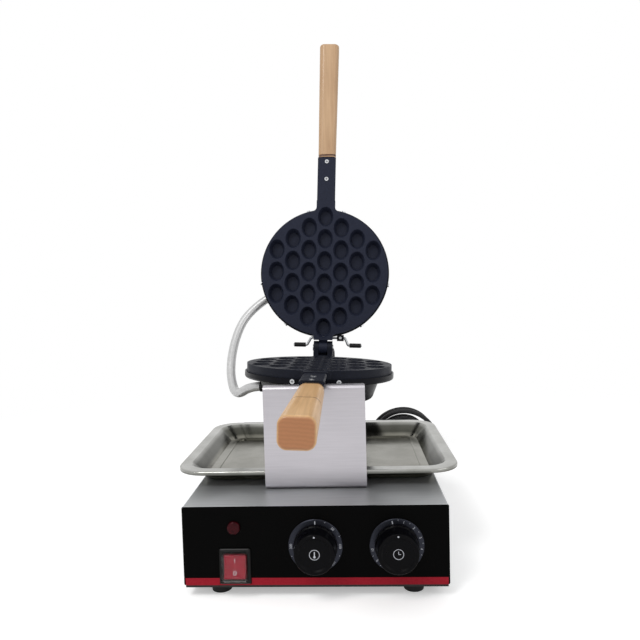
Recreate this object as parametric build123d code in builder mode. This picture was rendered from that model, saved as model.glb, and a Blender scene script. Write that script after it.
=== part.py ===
from build123d import *
import math
import os

# Egg cake machine: a flat electric base, a folded stand on top of it, a drip tray, and a pair of round
# moulds that turn over as one in the stand and open about a hinge at the back.
# Millimetres, +X to the right, +Y to the back, +Z up. The origin is on the table, under the middle of
# the machine's outline.

# Base
body_width = 255.0
body_height = 77.0
body_depth = 350.0
foot_height = 10.0
foot_radius = 11.0
foot_inset_x = 32.5
foot_inset_y = 20.0
pan_drop = 3.0
pan_wall = 16.0
foot_recess = 4.0
foot_screw_shank = 2.0
cover_screw_shank = 1.75
cover_screw_head = 1.8
cover_screw_rise = 11.0
cover_sheet = 1.2
panel_sheet = 1.5
fold_radius = 2.5
stripe_height = 7.0
stripe_film = 0.2

# Stand
stand_width = 104.0
stand_sheet = 1.5
stand_front = 44.0
stand_back = 327.5
stand_height = 107.0
stand_lip = 12.0
stand_bend = 8.0
lip_bend = 4.0
shoulder_height = 96.0
tongue_radius = 16.0
stand_screw_x = 36.0
stand_screw_shank = 2.0

# Drip tray
tray_width = 300.0
tray_length = 222.0
tray_front = 50.0
tray_height = 16.5
tray_sheet = 1.0
tray_rim = 11.0
tray_slope = 14.0
tray_corner = 32.0
tray_edge = 4.0

# Moulds, measured from the middle of the parting face
mould_setback = 184.0
mould_rise = 112.0
nose_up = 2.0
turned = 2.5
opened = 94.5
mould_radius = 89.5
mould_rim = 9.5
mould_back = 14.5
cell_width = 22.0
cell_length = 28.4
cell_depth = 10.5
cell_floor = 0.68
column_pitch = 22.8
row_pitch = 31.8
neck_width = 26.5
neck_step = 103.0
neck_end = 166.0
neck_relief = 1.0
neck_flare = 6.0
tab_end = 96.3
tab_flare = 6.0
parting_gap = 0.3

# Back covers and heaters of the moulds
lip_radius = 92.0
lip_depth = 17.0
dish_radius = 66.0
dish_depth = 42.0
dish_sheet = 1.5
heater_radius = 50.0
heater_rod = 4.0
heater_sink = 1.0
gland_depth = 32.3
gland_radius = 7.6
gland_inner = 60.0
gland_outer = 76.0
lid_gland = 22.0
mould_glands = (170.0, 40.0)

# Hinge and turning shaft
hinge_reach = 107.0
hinge_rise = 11.0
knuckle_radius = 9.5
cheek_inside = 6.3
tongue_half = 6.0
pin_radius = 3.0
shaft_radius = 6.0
boss_radius = 12.0
boss_end = 127.5
block_depth = 14.0
block_width = 27.0

# Grips, measured from the hinge pin
grip_start = 274.0
grip_end = 442.5
grip_width_root = 25.2
grip_width_end = 28.0
grip_depth_root = 17.0
grip_depth_end = 25.0
grip_gap = 3.1
grip_corner = 7.2
root_groove = 2.5
root_groove_width = 2.0
ring_groove = 86.0
ring_groove_width = 1.2
groove_depth = 0.7
tang_width = 14.0
tang_depth = 4.0
tang_sink = 6.0
tang_in_neck = 46.0
tang_in_grip = 90.0
tang_screws = (241.3, 266.7)
tang_screw_head = 2.8

# Stop rod across the lid, measured from the hinge pin
rod_radius = 1.75
rod_reach = 14.0
rod_sink = 5.6
sleeve_reach = 3.7
sleeve_radius = 3.1
collar_screw_head = 1.7

# Controls on the front panel: places from its middle and up from its foot
lamp_x = -77.5
lamp_rise = 56.5
lamp_radius = 6.3
lamp_neck = 5.0
switch_x = -77.2
switch_rise = 19.0
switch_width = 23.0
switch_tall = 26.2
switch_wall = 1.0
bezel_width = 30.0
bezel_tall = 34.5
boot_margin = 1.1
boot_wall = 0.8
knob_x = (0.5, 77.8)
knob_rise = 38.0
skirt_radius = 26.0
knob_radius = 20.0
knob_height = 19.0
spindle_radius = 3.0
bush_radius = 4.8
rocker_swing = 9.0
rocker_sink = 2.0
rocker_gap = 0.3

# Hoses and cord
hose_radius = 6.0
base_gland_x = 20.0
base_gland_back = 24.0
base_gland_neck = 6.6
cord_exit_x = -20.0
cord_exit_drop = 48.0
cord_gland_neck = 6.2
hose_bore = 4.6
cord_radius = 3.25
plug_radius = 17.0
plug_bore = 16.0
coil_radius = 50.5
coil_step = 5.8
coil_layer = 9.2
coil_pinch = 4.0
coil_lean = 9.0
coil_x = 118.0

# Fits
seat_gap = 0.3
running_gap = 0.05

box_top = foot_height + pan_drop + body_height
lamp_drop = body_height - lamp_rise
switch_drop = body_height - switch_rise
knob_drop = body_height - knob_rise
base_gland_y = stand_back - base_gland_back
nose_drop = math.sin(math.radians(nose_up))
grip_tip = (grip_end - hinge_reach) * math.cos(math.radians(nose_up))
grip_tip += (grip_gap + grip_depth_end) * nose_drop
front_y = (grip_tip - mould_setback - body_depth - cover_screw_head) / 2
back_y = front_y + body_depth
mould_y = front_y + mould_setback
mould_z = box_top + mould_rise
upper_pin_z = parting_gap - hinge_rise


def at(frame, x, y, z):
    """The point x, y, z of a frame, in the machine's own axes."""
    return frame.origin + frame.x_dir * x + frame.y_dir * y + frame.z_dir * z


def side_plane(frame, x):
    """A plane along the neck, its first axis to the hinge and its second out of the parting face."""
    return Plane(at(frame, x, 0, 0), x_dir=frame.y_dir, z_dir=frame.x_dir)


def cross_plane(frame, y):
    """A plane square to the neck, facing the grip."""
    return Plane(at(frame, 0, y, 0), x_dir=frame.x_dir, z_dir=frame.y_dir * -1)


def rim_plane(frame, angle, radius, depth):
    """A plane facing outwards on the rim of a mould, at a depth under its parting face."""
    turn = math.radians(angle)
    outward = frame.x_dir * math.cos(turn) + frame.y_dir * math.sin(turn)
    return Plane(frame.origin + outward * radius - frame.z_dir * depth, x_dir=frame.z_dir, z_dir=outward)


front_plane = Plane((0, front_y, box_top), x_dir=(1, 0, 0), z_dir=(0, -1, 0))
rear_plane = Plane((0, back_y, box_top), x_dir=(-1, 0, 0), z_dir=(0, 1, 0))
table_plane = Plane((0, front_y, 0))
top_plane = Plane((0, front_y, box_top))

# The lower half's parting face looks up. The upper half is the same casting, turned over on it and
# swung up about the hinge pin.
lower_place = Location((0, mould_y, mould_z), (-nose_up, turned, 0))
pin_place = lower_place * Location((0, hinge_reach, hinge_rise))
turned_over = Location((0, -hinge_reach, upper_pin_z), (0, 180, 0))
lower_frame = Plane(lower_place)
upper_frame = Plane(pin_place * Location((0, 0, 0), (-opened, 0, 0)) * turned_over)


def pan_screw(plane, head, shank, length, rise, grow=0.0):
    """A low-headed screw: its head stands on the plane and its shank runs down behind it."""
    with BuildPart() as screw:
        with BuildSketch(plane):
            Circle(head + grow)
        extrude(amount=rise + grow)
        with BuildSketch(plane):
            Circle(shank + grow)
        extrude(amount=-length - grow)
    return screw.part


def sunk_screw(plane, head, shank, length, depth, grow=0.0):
    """A countersunk screw, its head flush with the plane."""
    with BuildPart() as screw:
        with BuildSketch(plane):
            Circle(head + grow)
        with BuildSketch(plane.offset(-depth)):
            Circle(shank + grow)
        loft()
        with BuildSketch(plane.offset(-depth)):
            Circle(shank + grow)
        extrude(amount=-length - grow)
    return screw.part


def bends(points):
    """Bend radii that take up most of the shorter run at each corner of a route."""
    radii = []
    for before, corner, after in zip(points, points[1:], points[2:]):
        arriving, leaving = corner - before, after - corner
        half_turn = math.radians(arriving.get_angle(leaving)) / 2
        radii.append(0.45 * min(arriving.length, leaving.length) / math.tan(half_turn))
    return radii


def tube(points, radius, bore=0.0):
    """A round tube along a route of straight runs and tangent bends."""
    with BuildPart() as pipe:
        with BuildLine() as route:
            FilletPolyline(points, radius=bends(points))
        with BuildSketch(Plane(points[0], z_dir=points[1] - points[0])):
            Circle(radius)
            if bore:
                Circle(bore, mode=Mode.SUBTRACT)
        sweep(path=route.line)
    return pipe.part


# Base

foot_places = [(x * (body_width / 2 - foot_inset_x), y) for x in (-1, 1)
               for y in (foot_inset_y, body_depth - foot_inset_y)]
side_screws = [Plane((side * body_width / 2, front_y + y, foot_height + cover_screw_rise),
                     z_dir=(side, 0, 0)) for side in (-1, 1) for y in (45, body_depth - 45)]
rear_screws = [Plane((side * (body_width / 2 - foot_inset_x), back_y, foot_height + cover_screw_rise),
                     z_dir=(0, 1, 0)) for side in (-1, 1)]
stand_screw_planes = [Plane((x, front_y + y, box_top + stand_sheet))
                      for x in (-stand_screw_x, stand_screw_x) for y in (stand_front + 20, stand_back - 18)]

with BuildPart() as base_cover:
    with BuildSketch(front_plane.offset(-panel_sheet)) as cover_section:
        with Locations((0, -body_height / 2)):
            Rectangle(body_width, body_height)
        fillet(cover_section.vertices().group_by(Axis.Y)[-1], fold_radius)
        with BuildLine():
            inner = body_width / 2 - cover_sheet
            Polyline((-inner, -body_height), (-inner, -cover_sheet), (inner, -cover_sheet),
                     (inner, -body_height), close=True)
        make_face(mode=Mode.SUBTRACT)
    extrude(amount=-(body_depth - 2 * panel_sheet))
    with BuildSketch(top_plane):
        with Locations((base_gland_x, base_gland_y)):
            Circle(base_gland_neck + running_gap)
    extrude(amount=-cover_sheet, mode=Mode.SUBTRACT)
    for plane in side_screws:
        with BuildSketch(plane):
            Circle(cover_screw_shank + running_gap)
        extrude(amount=-6, mode=Mode.SUBTRACT)
    for plane in stand_screw_planes:
        with BuildSketch(plane):
            Circle(stand_screw_shank + running_gap)
        extrude(amount=-10, mode=Mode.SUBTRACT)

with BuildPart() as bottom_plate:
    pan_length = body_depth - 2 * panel_sheet - 2 * running_gap
    pan_width = body_width - 2 * cover_sheet - 2 * running_gap
    with BuildSketch(table_plane.offset(foot_height)):
        with Locations((0, body_depth / 2)):
            Rectangle(pan_width, pan_length)
    extrude(amount=pan_wall)
    offset(amount=-panel_sheet, openings=bottom_plate.faces().sort_by(Axis.Z)[-1])
    with BuildSketch(table_plane.offset(foot_height)):
        with Locations(*foot_places):
            Circle(foot_screw_shank + running_gap)
    extrude(amount=panel_sheet, mode=Mode.SUBTRACT)
    with BuildSketch(front_plane):
        with Locations((switch_x, -switch_drop)):
            Rectangle(switch_width + 3, switch_tall + 3)
    extrude(amount=-10, mode=Mode.SUBTRACT)
    for plane in side_screws + rear_screws:
        with BuildSketch(plane):
            Circle(cover_screw_shank + running_gap)
        extrude(amount=-6, mode=Mode.SUBTRACT)

with BuildPart() as front_panel:
    with BuildSketch(front_plane):
        with Locations((0, -body_height / 2)):
            RectangleRounded(body_width, body_height, 1.5)
        with Locations((lamp_x, -lamp_drop)):
            Circle(lamp_neck + running_gap, mode=Mode.SUBTRACT)
        with Locations((switch_x, -switch_drop)):
            Rectangle(switch_width + 0.2, switch_tall + 0.2, mode=Mode.SUBTRACT)
        with Locations(*[(x, -knob_drop) for x in knob_x]):
            Circle(bush_radius + running_gap, mode=Mode.SUBTRACT)
    extrude(amount=-panel_sheet)

with BuildPart() as panel_stripe:
    with BuildSketch(front_plane):
        with Locations((0, stripe_height / 2 - body_height)):
            Rectangle(body_width - 3, stripe_height)
        with Locations((switch_x, -switch_drop)):
            Rectangle(bezel_width + 1, bezel_tall + 1, mode=Mode.SUBTRACT)
    extrude(amount=stripe_film)

with BuildPart() as rear_panel:
    with BuildSketch(rear_plane):
        with Locations((0, -body_height / 2)):
            RectangleRounded(body_width, body_height, 1.5)
        with Locations((-cord_exit_x, -cord_exit_drop)):
            Circle(cord_gland_neck + running_gap, mode=Mode.SUBTRACT)
        with Locations((78, -38)):
            with GridLocations(5.5, 0, 9, 1):
                SlotOverall(26, 2.4, rotation=90, mode=Mode.SUBTRACT)
    extrude(amount=-panel_sheet)
    for plane in rear_screws:
        with BuildSketch(plane):
            Circle(cover_screw_shank + running_gap)
        extrude(amount=-6, mode=Mode.SUBTRACT)

with BuildPart() as cover_screws:
    for plane in side_screws + rear_screws:
        add(pan_screw(plane, 3.4, cover_screw_shank, 6, cover_screw_head))

with BuildPart() as feet:
    for x, y in foot_places:
        foot_base = Plane(table_plane.origin + Vector(x, y, 0))
        with BuildSketch(foot_base):
            Circle(foot_radius - 1.2)
        with BuildSketch(foot_base.offset(foot_height)):
            Circle(foot_radius)
        loft()
        with BuildSketch(foot_base):
            Circle(5)
        extrude(amount=foot_recess, mode=Mode.SUBTRACT)
        with BuildSketch(foot_base):
            Circle(foot_screw_shank + running_gap)
        extrude(amount=foot_height, mode=Mode.SUBTRACT)

with BuildPart() as foot_screws:
    for x, y in foot_places:
        seat = Plane(table_plane.origin + Vector(x, y, foot_recess), z_dir=(0, 0, -1))
        add(pan_screw(seat, 4, foot_screw_shank, foot_height + 3 - foot_recess, 2.4))

# Stand: one folded sheet, up at the front with its top turned back, across the base, and up at the back

with BuildPart() as stand:
    with BuildSketch(Plane((0, front_y, box_top), x_dir=(0, 1, 0), z_dir=(1, 0, 0))):
        with BuildLine():
            sheet = stand_sheet
            back = stand_back + sheet
            outer = FilletPolyline(
                (stand_front + stand_lip, stand_height), (stand_front, stand_height), (stand_front, 0),
                (back, 0), (back, mould_rise + 14), radius=[lip_bend, stand_bend, lip_bend])
            inner = FilletPolyline(
                (stand_front + stand_lip, stand_height - sheet), (stand_front + sheet, stand_height - sheet),
                (stand_front + sheet, sheet), (stand_back, sheet), (stand_back, mould_rise + 14),
                radius=[lip_bend - sheet, stand_bend - sheet, lip_bend - sheet])
            Line(outer @ 0, inner @ 0)
            Line(outer @ 1, inner @ 1)
        make_face()
    extrude(amount=stand_width / 2, both=True)
    # The back rises to a rounded tongue that carries the bearing.
    with BuildSketch(Plane((0, back_y, box_top), x_dir=(-1, 0, 0), z_dir=(0, 1, 0))):
        axis_rise = mould_rise - nose_drop * (stand_back - mould_setback)
        with Locations((0, shoulder_height + 30)):
            Rectangle(stand_width + 2, 60)
        with BuildLine():
            l1 = Line((-tongue_radius, shoulder_height), (-tongue_radius, axis_rise))
            l2 = ThreePointArc(l1 @ 1, (0, axis_rise + tongue_radius), (tongue_radius, axis_rise))
            l3 = Line(l2 @ 1, (tongue_radius, shoulder_height))
            Line(l3 @ 1, l1 @ 0)
        make_face(mode=Mode.SUBTRACT)
    extrude(amount=-60, mode=Mode.SUBTRACT)
    lip_end = stand.edges().filter_by(Axis.Z).filter_by(lambda e: e.center().Z > box_top + stand_height - 3)
    fillet(lip_end.filter_by(lambda e: e.center().Y < 0), 3)
    # Cradle for the neck, and the hole behind the bearing.
    with BuildSketch(cross_plane(lower_frame, 0)):
        Circle(neck_width / 2 + seat_gap)
    extrude(amount=mould_setback, mode=Mode.SUBTRACT)
    with BuildSketch(cross_plane(lower_frame, boss_end)):
        Circle(shaft_radius + 2)
    extrude(amount=-60, mode=Mode.SUBTRACT)
    for plane in stand_screw_planes:
        add(sunk_screw(plane, 3.6, stand_screw_shank, 8, stand_sheet, running_gap), mode=Mode.SUBTRACT)
    with BuildSketch(top_plane):
        with Locations((base_gland_x, base_gland_y)):
            Circle(base_gland_neck + running_gap)
    extrude(amount=stand_sheet, mode=Mode.SUBTRACT)
    with BuildSketch(Plane((0, front_y + stand_back, box_top), x_dir=(1, 0, 0), z_dir=(0, -1, 0))):
        with Locations((0, axis_rise)):
            with GridLocations(block_width - 6, 0, 2, 1):
                Circle(1.5 + running_gap)
    extrude(amount=-10, mode=Mode.SUBTRACT)

with BuildPart() as stand_screws:
    for plane in stand_screw_planes:
        add(sunk_screw(plane, 3.6, stand_screw_shank, 8, stand_sheet))

block_plane = Plane((0, front_y + stand_back, box_top + axis_rise), x_dir=(1, 0, 0), z_dir=(0, -1, 0))

with BuildPart() as bearing_block:
    with BuildSketch(block_plane):
        RectangleRounded(block_width, block_width - 3, 4)
        with GridLocations(block_width - 6, 0, 2, 1):
            Circle(1.5 + running_gap, mode=Mode.SUBTRACT)
    extrude(amount=block_depth)
    with BuildSketch(cross_plane(lower_frame, boss_end)):
        Circle(shaft_radius + running_gap)
    extrude(amount=-60, mode=Mode.SUBTRACT)

with BuildPart() as block_screws:
    for x in (-1, 1):
        place = block_plane.origin + Vector(x * (block_width - 6) / 2, -block_depth, 0)
        add(pan_screw(Plane(place, z_dir=(0, -1, 0)), 2.8, 1.5, block_depth + stand_sheet, 2))

# Drip tray

tray_floor = box_top + stand_sheet
tray_middle = (0, front_y + tray_front + tray_length / 2)


def tray_form(shrink, bottom, top):
    """The tray's bowl between two heights, smaller all round by shrink."""
    wide, long = tray_width - 2 * tray_rim - 2 * shrink, tray_length - 2 * tray_rim - 2 * shrink
    with BuildPart() as bowl:
        with BuildSketch(Plane((*tray_middle, tray_floor + bottom))):
            RectangleRounded(wide - 2 * tray_slope, long - 2 * tray_slope, tray_corner - 12 - shrink)
        with BuildSketch(Plane((*tray_middle, tray_floor + top))):
            RectangleRounded(wide, long, tray_corner - 7 - shrink)
        loft(ruled=True)
    return bowl.part


with BuildPart() as tray:
    add(tray_form(0, 0, tray_height))
    with BuildSketch(Plane((*tray_middle, tray_floor + tray_height - tray_edge))):
        RectangleRounded(tray_width, tray_length, tray_corner)
    extrude(amount=tray_edge)
    fillet(tray.edges().group_by(Axis.Z)[-1], 1.6)
    with BuildSketch(Plane((*tray_middle, tray_floor + tray_height - tray_edge))):
        RectangleRounded(tray_width - 2 * tray_sheet, tray_length - 2 * tray_sheet, tray_corner - tray_sheet)
        RectangleRounded(tray_width - 2 * tray_rim, tray_length - 2 * tray_rim, tray_corner - 7,
                         mode=Mode.SUBTRACT)
    extrude(amount=tray_edge - tray_sheet, mode=Mode.SUBTRACT)
    add(tray_form(tray_sheet, tray_sheet, tray_height + 0.01), mode=Mode.SUBTRACT)
    # A bead pressed up round the floor.
    with BuildSketch(Plane((*tray_middle, tray_floor + tray_sheet))):
        RectangleRounded(tray_width - 68, tray_length - 68, 14)
        RectangleRounded(tray_width - 72, tray_length - 72, 12, mode=Mode.SUBTRACT)
    extrude(amount=0.7)

# Castings

def cell_places():
    """The middles of the oval cells: seven columns of three to six, each half a row out of step."""
    places = []
    for column in range(-3, 4):
        cells = 6 - abs(column)
        first = -(cells - 1) / 2 * row_pitch
        places += [(column * column_pitch, first + row * row_pitch) for row in range(cells)]
    return places


def cell_pockets(frame):
    """The oval cells of one half, narrowing to their floors."""
    with BuildPart() as pocket:
        with BuildSketch(frame):
            Ellipse(cell_width / 2, cell_length / 2)
        with BuildSketch(frame.offset(-cell_depth)):
            Ellipse(cell_width / 2 * cell_floor, cell_length / 2 * cell_floor)
        loft(ruled=True)
    return [pocket.part.moved(Location(frame.x_dir * x + frame.y_dir * y)) for x, y in cell_places()]


def casting(frame):
    """What both halves share: the round plate, its step behind, and the neck with its flat and slot."""
    corner = math.sqrt(mould_radius ** 2 - (neck_width / 2) ** 2)
    with BuildPart() as half:
        with BuildSketch(frame) as plate:
            Circle(mould_radius)
            with Locations((0, -neck_step / 2)):
                Rectangle(neck_width, neck_step)
            with Locations((0, tab_end / 2)):
                Rectangle(neck_width, tab_end)
            corners = plate.vertices().filter_by(lambda v: abs(abs(v.Y) - corner) < 0.1)
            fillet(corners.group_by(Axis.Y)[0], neck_flare)
            corners = plate.vertices().filter_by(lambda v: abs(v.Y - corner) < 0.1)
            fillet(corners, tab_flare)
        extrude(amount=-mould_rim)
        with BuildSketch(frame.offset(-mould_rim)):
            Circle(lip_radius - dish_sheet - running_gap)
        extrude(amount=mould_rim - mould_back)
        # The neck is half round, its flat lowered beyond the plate.
        with BuildSketch(cross_plane(frame, -lip_radius - 0.5)):
            Circle(neck_width / 2)
            with Locations((0, neck_width / 2)):
                Rectangle(neck_width, neck_width, mode=Mode.SUBTRACT)
        extrude(amount=neck_end - lip_radius - 0.5)
        with BuildSketch(side_plane(frame, 0)):
            with Locations((-neck_step - 60, 10 - neck_relief)):
                Rectangle(120, 20)
        extrude(amount=neck_width, both=True, mode=Mode.SUBTRACT)
        chamfer(half.edges().filter_by(lambda e: on_neck_edge(e, frame)), 1.8)
        with BuildSketch(cross_plane(frame, tang_in_neck - neck_end)):
            with Locations((0, -tang_sink - tang_depth / 2)):
                Rectangle(tang_width, tang_depth)
        extrude(amount=tang_in_neck, mode=Mode.SUBTRACT)
        with BuildSketch(frame.offset(-mould_back)):
            Circle(heater_radius + heater_rod + running_gap)
            Circle(heater_radius - heater_rod - running_gap, mode=Mode.SUBTRACT)
        extrude(amount=heater_sink, mode=Mode.SUBTRACT)
        for plane in lip_screw_planes(frame):
            with BuildSketch(plane):
                Circle(1.5 + running_gap)
            extrude(amount=-9, mode=Mode.SUBTRACT)
        for plane in tang_screw_planes(frame):
            with BuildSketch(plane):
                Circle(2 + running_gap)
            extrude(amount=-12, mode=Mode.SUBTRACT)
    return half.part


def on_neck_edge(edge, frame):
    """Whether an edge is one of the two long ones beside the neck's flat."""
    middle = edge.center() - frame.origin
    aside, along, out = (middle.dot(axis) for axis in (frame.x_dir, frame.y_dir, frame.z_dir))
    return edge.length > 40 and abs(aside) > neck_width / 2 - 0.5 and along < -neck_step and out > -2


def lip_screw_planes(frame):
    """Where the screws round the lip sit, six of them."""
    return [rim_plane(frame, angle, lip_radius, lip_depth - 4.5) for angle in (10, 54, 126, 170, 254, 286)]


def tang_screw_planes(frame):
    """Where the two screws sit on the neck's flat."""
    return [Plane(at(frame, 0, hinge_reach - reach, -neck_relief), x_dir=frame.x_dir, z_dir=frame.z_dir)
            for reach in tang_screws]


def back_cover(frame, gland_angles):
    """The pan behind a half: a lip round the casting's step, then a shallow dish over the heater."""
    with BuildPart() as cover:
        with BuildSketch(cross_plane(frame, 0)):
            with BuildLine():
                top = -mould_rim - 0.2
                outer = FilletPolyline((0, -dish_depth), (dish_radius, -dish_depth),
                                       (dish_radius + 9, -lip_depth), (lip_radius, -lip_depth),
                                       (lip_radius, top), radius=[6, 3, 2.2])
                wall = lip_radius - dish_sheet
                floor = dish_sheet - dish_depth
                inner = FilletPolyline((0, floor), (dish_radius - 1, floor),
                                       (dish_radius + 8, dish_sheet - lip_depth),
                                       (wall, dish_sheet - lip_depth), (wall, top), radius=[4.5, 4.5, 0.7])
                Line(outer @ 0, inner @ 0)
                Line(outer @ 1, inner @ 1)
            make_face()
        revolve(axis=Axis(frame.origin, frame.z_dir))
        for plane in lip_screw_planes(frame):
            with BuildSketch(plane):
                Circle(1.5 + running_gap)
            extrude(amount=-9, mode=Mode.SUBTRACT)
        for angle in gland_angles:
            with BuildSketch(rim_plane(frame, angle, gland_inner, gland_depth)):
                Circle(gland_radius + running_gap)
            extrude(amount=gland_outer - gland_inner, mode=Mode.SUBTRACT)
    return cover.part


def gland(frame, angle):
    """The collar where a hose leaves a back cover."""
    with BuildPart() as collar:
        with BuildSketch(rim_plane(frame, angle, gland_inner, gland_depth)):
            Circle(gland_radius)
            Circle(hose_radius + running_gap, mode=Mode.SUBTRACT)
        extrude(amount=gland_outer - gland_inner)
    return collar.part


def heater(frame):
    """The ring heater against the back of a half, its two ends turned out to their terminals."""
    depth = mould_back - heater_sink + heater_rod
    with BuildPart() as ring:
        with BuildLine(frame.offset(-depth)) as path:
            CenterArc((0, 0), heater_radius, 200, 320)
        with BuildSketch(Plane(path.line @ 0, z_dir=path.line % 0)):
            Circle(heater_rod)
        sweep(path=path.line)
        for angle in (200, 160):
            turn = math.radians(angle)
            spot = at(frame, heater_radius * math.cos(turn), heater_radius * math.sin(turn), -depth)
            with BuildSketch(Plane(spot, z_dir=frame.z_dir * -1)):
                Circle(2.2)
            extrude(amount=8)
    return ring.part


def tang(frame):
    """The steel bar that joins a neck to its grip."""
    with BuildPart() as bar:
        with BuildSketch(cross_plane(frame, tang_in_neck - neck_end)):
            with Locations((0, -tang_sink - tang_depth / 2)):
                Rectangle(tang_width - 2 * running_gap, tang_depth - 2 * running_gap)
        extrude(amount=tang_in_neck + tang_in_grip)
        for plane in tang_screw_planes(frame):
            with BuildSketch(plane):
                Circle(2 + running_gap)
            extrude(amount=-12, mode=Mode.SUBTRACT)
    return bar.part


def grip(frame, grooves):
    """A wooden grip: slim at the neck, deeper to its end, with turned grooves and rounded corners."""
    start, end = hinge_reach - grip_start, hinge_reach - grip_end
    sections = ((start, grip_width_root, grip_depth_root), (end, grip_width_end, grip_depth_end))
    with BuildPart() as wood:
        for y, width, depth in sections:
            with BuildSketch(cross_plane(frame, y)):
                with Locations((0, -grip_gap - depth / 2)):
                    RectangleRounded(width, depth, grip_corner)
        loft(ruled=True)
        end_face = wood.faces().sort_by(Axis(frame.origin, frame.y_dir))[0]
        fillet(end_face.edges(), 3)
        root_face = wood.faces().sort_by(Axis(frame.origin, frame.y_dir))[-1]
        chamfer(root_face.edges(), 0.8)
        for along, groove_width in grooves:
            share = along / (grip_end - grip_start)
            width = grip_width_root + share * (grip_width_end - grip_width_root)
            depth = grip_depth_root + share * (grip_depth_end - grip_depth_root)
            with BuildSketch(cross_plane(frame, start - along)):
                with Locations((0, -grip_gap - depth / 2)):
                    Rectangle(width + 4, depth + 4)
                    RectangleRounded(width - 2 * groove_depth, depth - 2 * groove_depth,
                                     grip_corner - groove_depth, mode=Mode.SUBTRACT)
            extrude(amount=groove_width, mode=Mode.SUBTRACT)
        with BuildSketch(cross_plane(frame, start)):
            with Locations((0, -tang_sink - tang_depth / 2)):
                Rectangle(tang_width, tang_depth)
        extrude(amount=tang_in_grip, mode=Mode.SUBTRACT)
    return wood.part


def lip_screws(frame):
    """The screws round one lip."""
    with BuildPart() as screws:
        for plane in lip_screw_planes(frame):
            add(pan_screw(plane, 2.7, 1.5, 7, 1.6))
    return screws.part


def neck_screws(frame):
    """The two screws on one neck."""
    with BuildPart() as screws:
        for plane in tang_screw_planes(frame):
            add(pan_screw(plane, tang_screw_head, 2, 10.5, 0.9))
    return screws.part


# Lower half, which turns in the stand

with BuildPart() as lower_mould:
    add(casting(lower_frame))
    with BuildSketch(side_plane(lower_frame, 0)):
        with BuildLine():
            near, far = hinge_reach - knuckle_radius, hinge_reach + knuckle_radius
            under = lip_radius + 0.5
            outline = Polyline((near, hinge_rise), (near, 0), (86, 0), (86, -mould_rim), (under, -mould_rim),
                               (under, -boss_radius), (far, -boss_radius), (far, hinge_rise))
            ThreePointArc(outline @ 1, (hinge_reach, hinge_rise + knuckle_radius), outline @ 0)
        make_face()
    extrude(amount=neck_width / 2, both=True)
    with BuildSketch(cross_plane(lower_frame, boss_end)):
        Circle(boss_radius)
    extrude(amount=boss_end - hinge_reach)
    with BuildSketch(side_plane(lower_frame, 0)):
        slot_floor = hinge_rise - knuckle_radius - 0.4
        with Locations((near - 1, slot_floor)):
            Rectangle(2 * knuckle_radius + 1.7, 40, align=(Align.MIN, Align.MIN))
    extrude(amount=cheek_inside, both=True, mode=Mode.SUBTRACT)
    with BuildSketch(side_plane(lower_frame, 0)):
        with Locations((hinge_reach, hinge_rise)):
            Circle(pin_radius + running_gap)
    extrude(amount=neck_width, both=True, mode=Mode.SUBTRACT)
    shaft_start = near + 2 * knuckle_radius + 1.2
    with BuildSketch(cross_plane(lower_frame, boss_end)):
        Circle(shaft_radius + running_gap)
    extrude(amount=boss_end - shaft_start, mode=Mode.SUBTRACT)
    add(cell_pockets(lower_frame), mode=Mode.SUBTRACT)

with BuildPart() as turning_shaft:
    with BuildSketch(cross_plane(lower_frame, shaft_start)):
        Circle(shaft_radius)
    extrude(amount=-(stand_back - mould_setback + 15 - shaft_start))

with BuildPart() as shaft_collar:
    with BuildSketch(cross_plane(lower_frame, stand_back - mould_setback + 3)):
        Circle(10.5)
        Circle(shaft_radius + running_gap, mode=Mode.SUBTRACT)
    extrude(amount=-8)

with BuildPart() as hinge_pin:
    with BuildSketch(side_plane(lower_frame, 0)):
        with Locations((hinge_reach, hinge_rise)):
            Circle(pin_radius)
    extrude(amount=neck_width / 2 + 0.6, both=True)
    for side in (-1, 1):
        with BuildSketch(side_plane(lower_frame, side * neck_width / 2)):
            with Locations((hinge_reach, hinge_rise)):
                Circle(4.4)
        extrude(amount=side * 1.2)

with BuildPart() as lower_cover:
    add(back_cover(lower_frame, mould_glands))
with BuildPart() as lower_heater:
    add(heater(lower_frame))
with BuildPart() as lower_tang:
    add(tang(lower_frame))
with BuildPart() as lower_grip:
    add(grip(lower_frame, ((root_groove, root_groove_width), (ring_groove, ring_groove_width))))
with BuildPart() as lower_lip_screws:
    add(lip_screws(lower_frame))
with BuildPart() as lower_neck_screws:
    add(neck_screws(lower_frame))
with BuildPart() as lower_glands:
    for angle in mould_glands:
        add(gland(lower_frame, angle))

# Upper half, the lid

with BuildPart() as upper_mould:
    add(casting(upper_frame))
    with BuildSketch(side_plane(upper_frame, 0)):
        with Locations((hinge_reach, upper_pin_z)):
            Circle(knuckle_radius)
        with BuildLine():
            reach = knuckle_radius * math.sqrt(0.5)
            under = lip_radius + 0.4
            Polyline((86, 0), (tab_end, 0), (hinge_reach - reach, upper_pin_z + reach),
                     (hinge_reach, upper_pin_z), (hinge_reach - reach, upper_pin_z - reach),
                     (under, upper_pin_z - 4), (under, -mould_rim), (86, -mould_rim), close=True)
        make_face()
    extrude(amount=tongue_half, both=True)
    with BuildSketch(side_plane(upper_frame, 0)):
        with Locations((hinge_reach, upper_pin_z)):
            Circle(pin_radius + running_gap)
        with Locations((hinge_reach - rod_reach, -rod_sink)):
            Circle(rod_radius + running_gap)
    extrude(amount=neck_width, both=True, mode=Mode.SUBTRACT)
    add(cell_pockets(upper_frame), mode=Mode.SUBTRACT)

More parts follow.
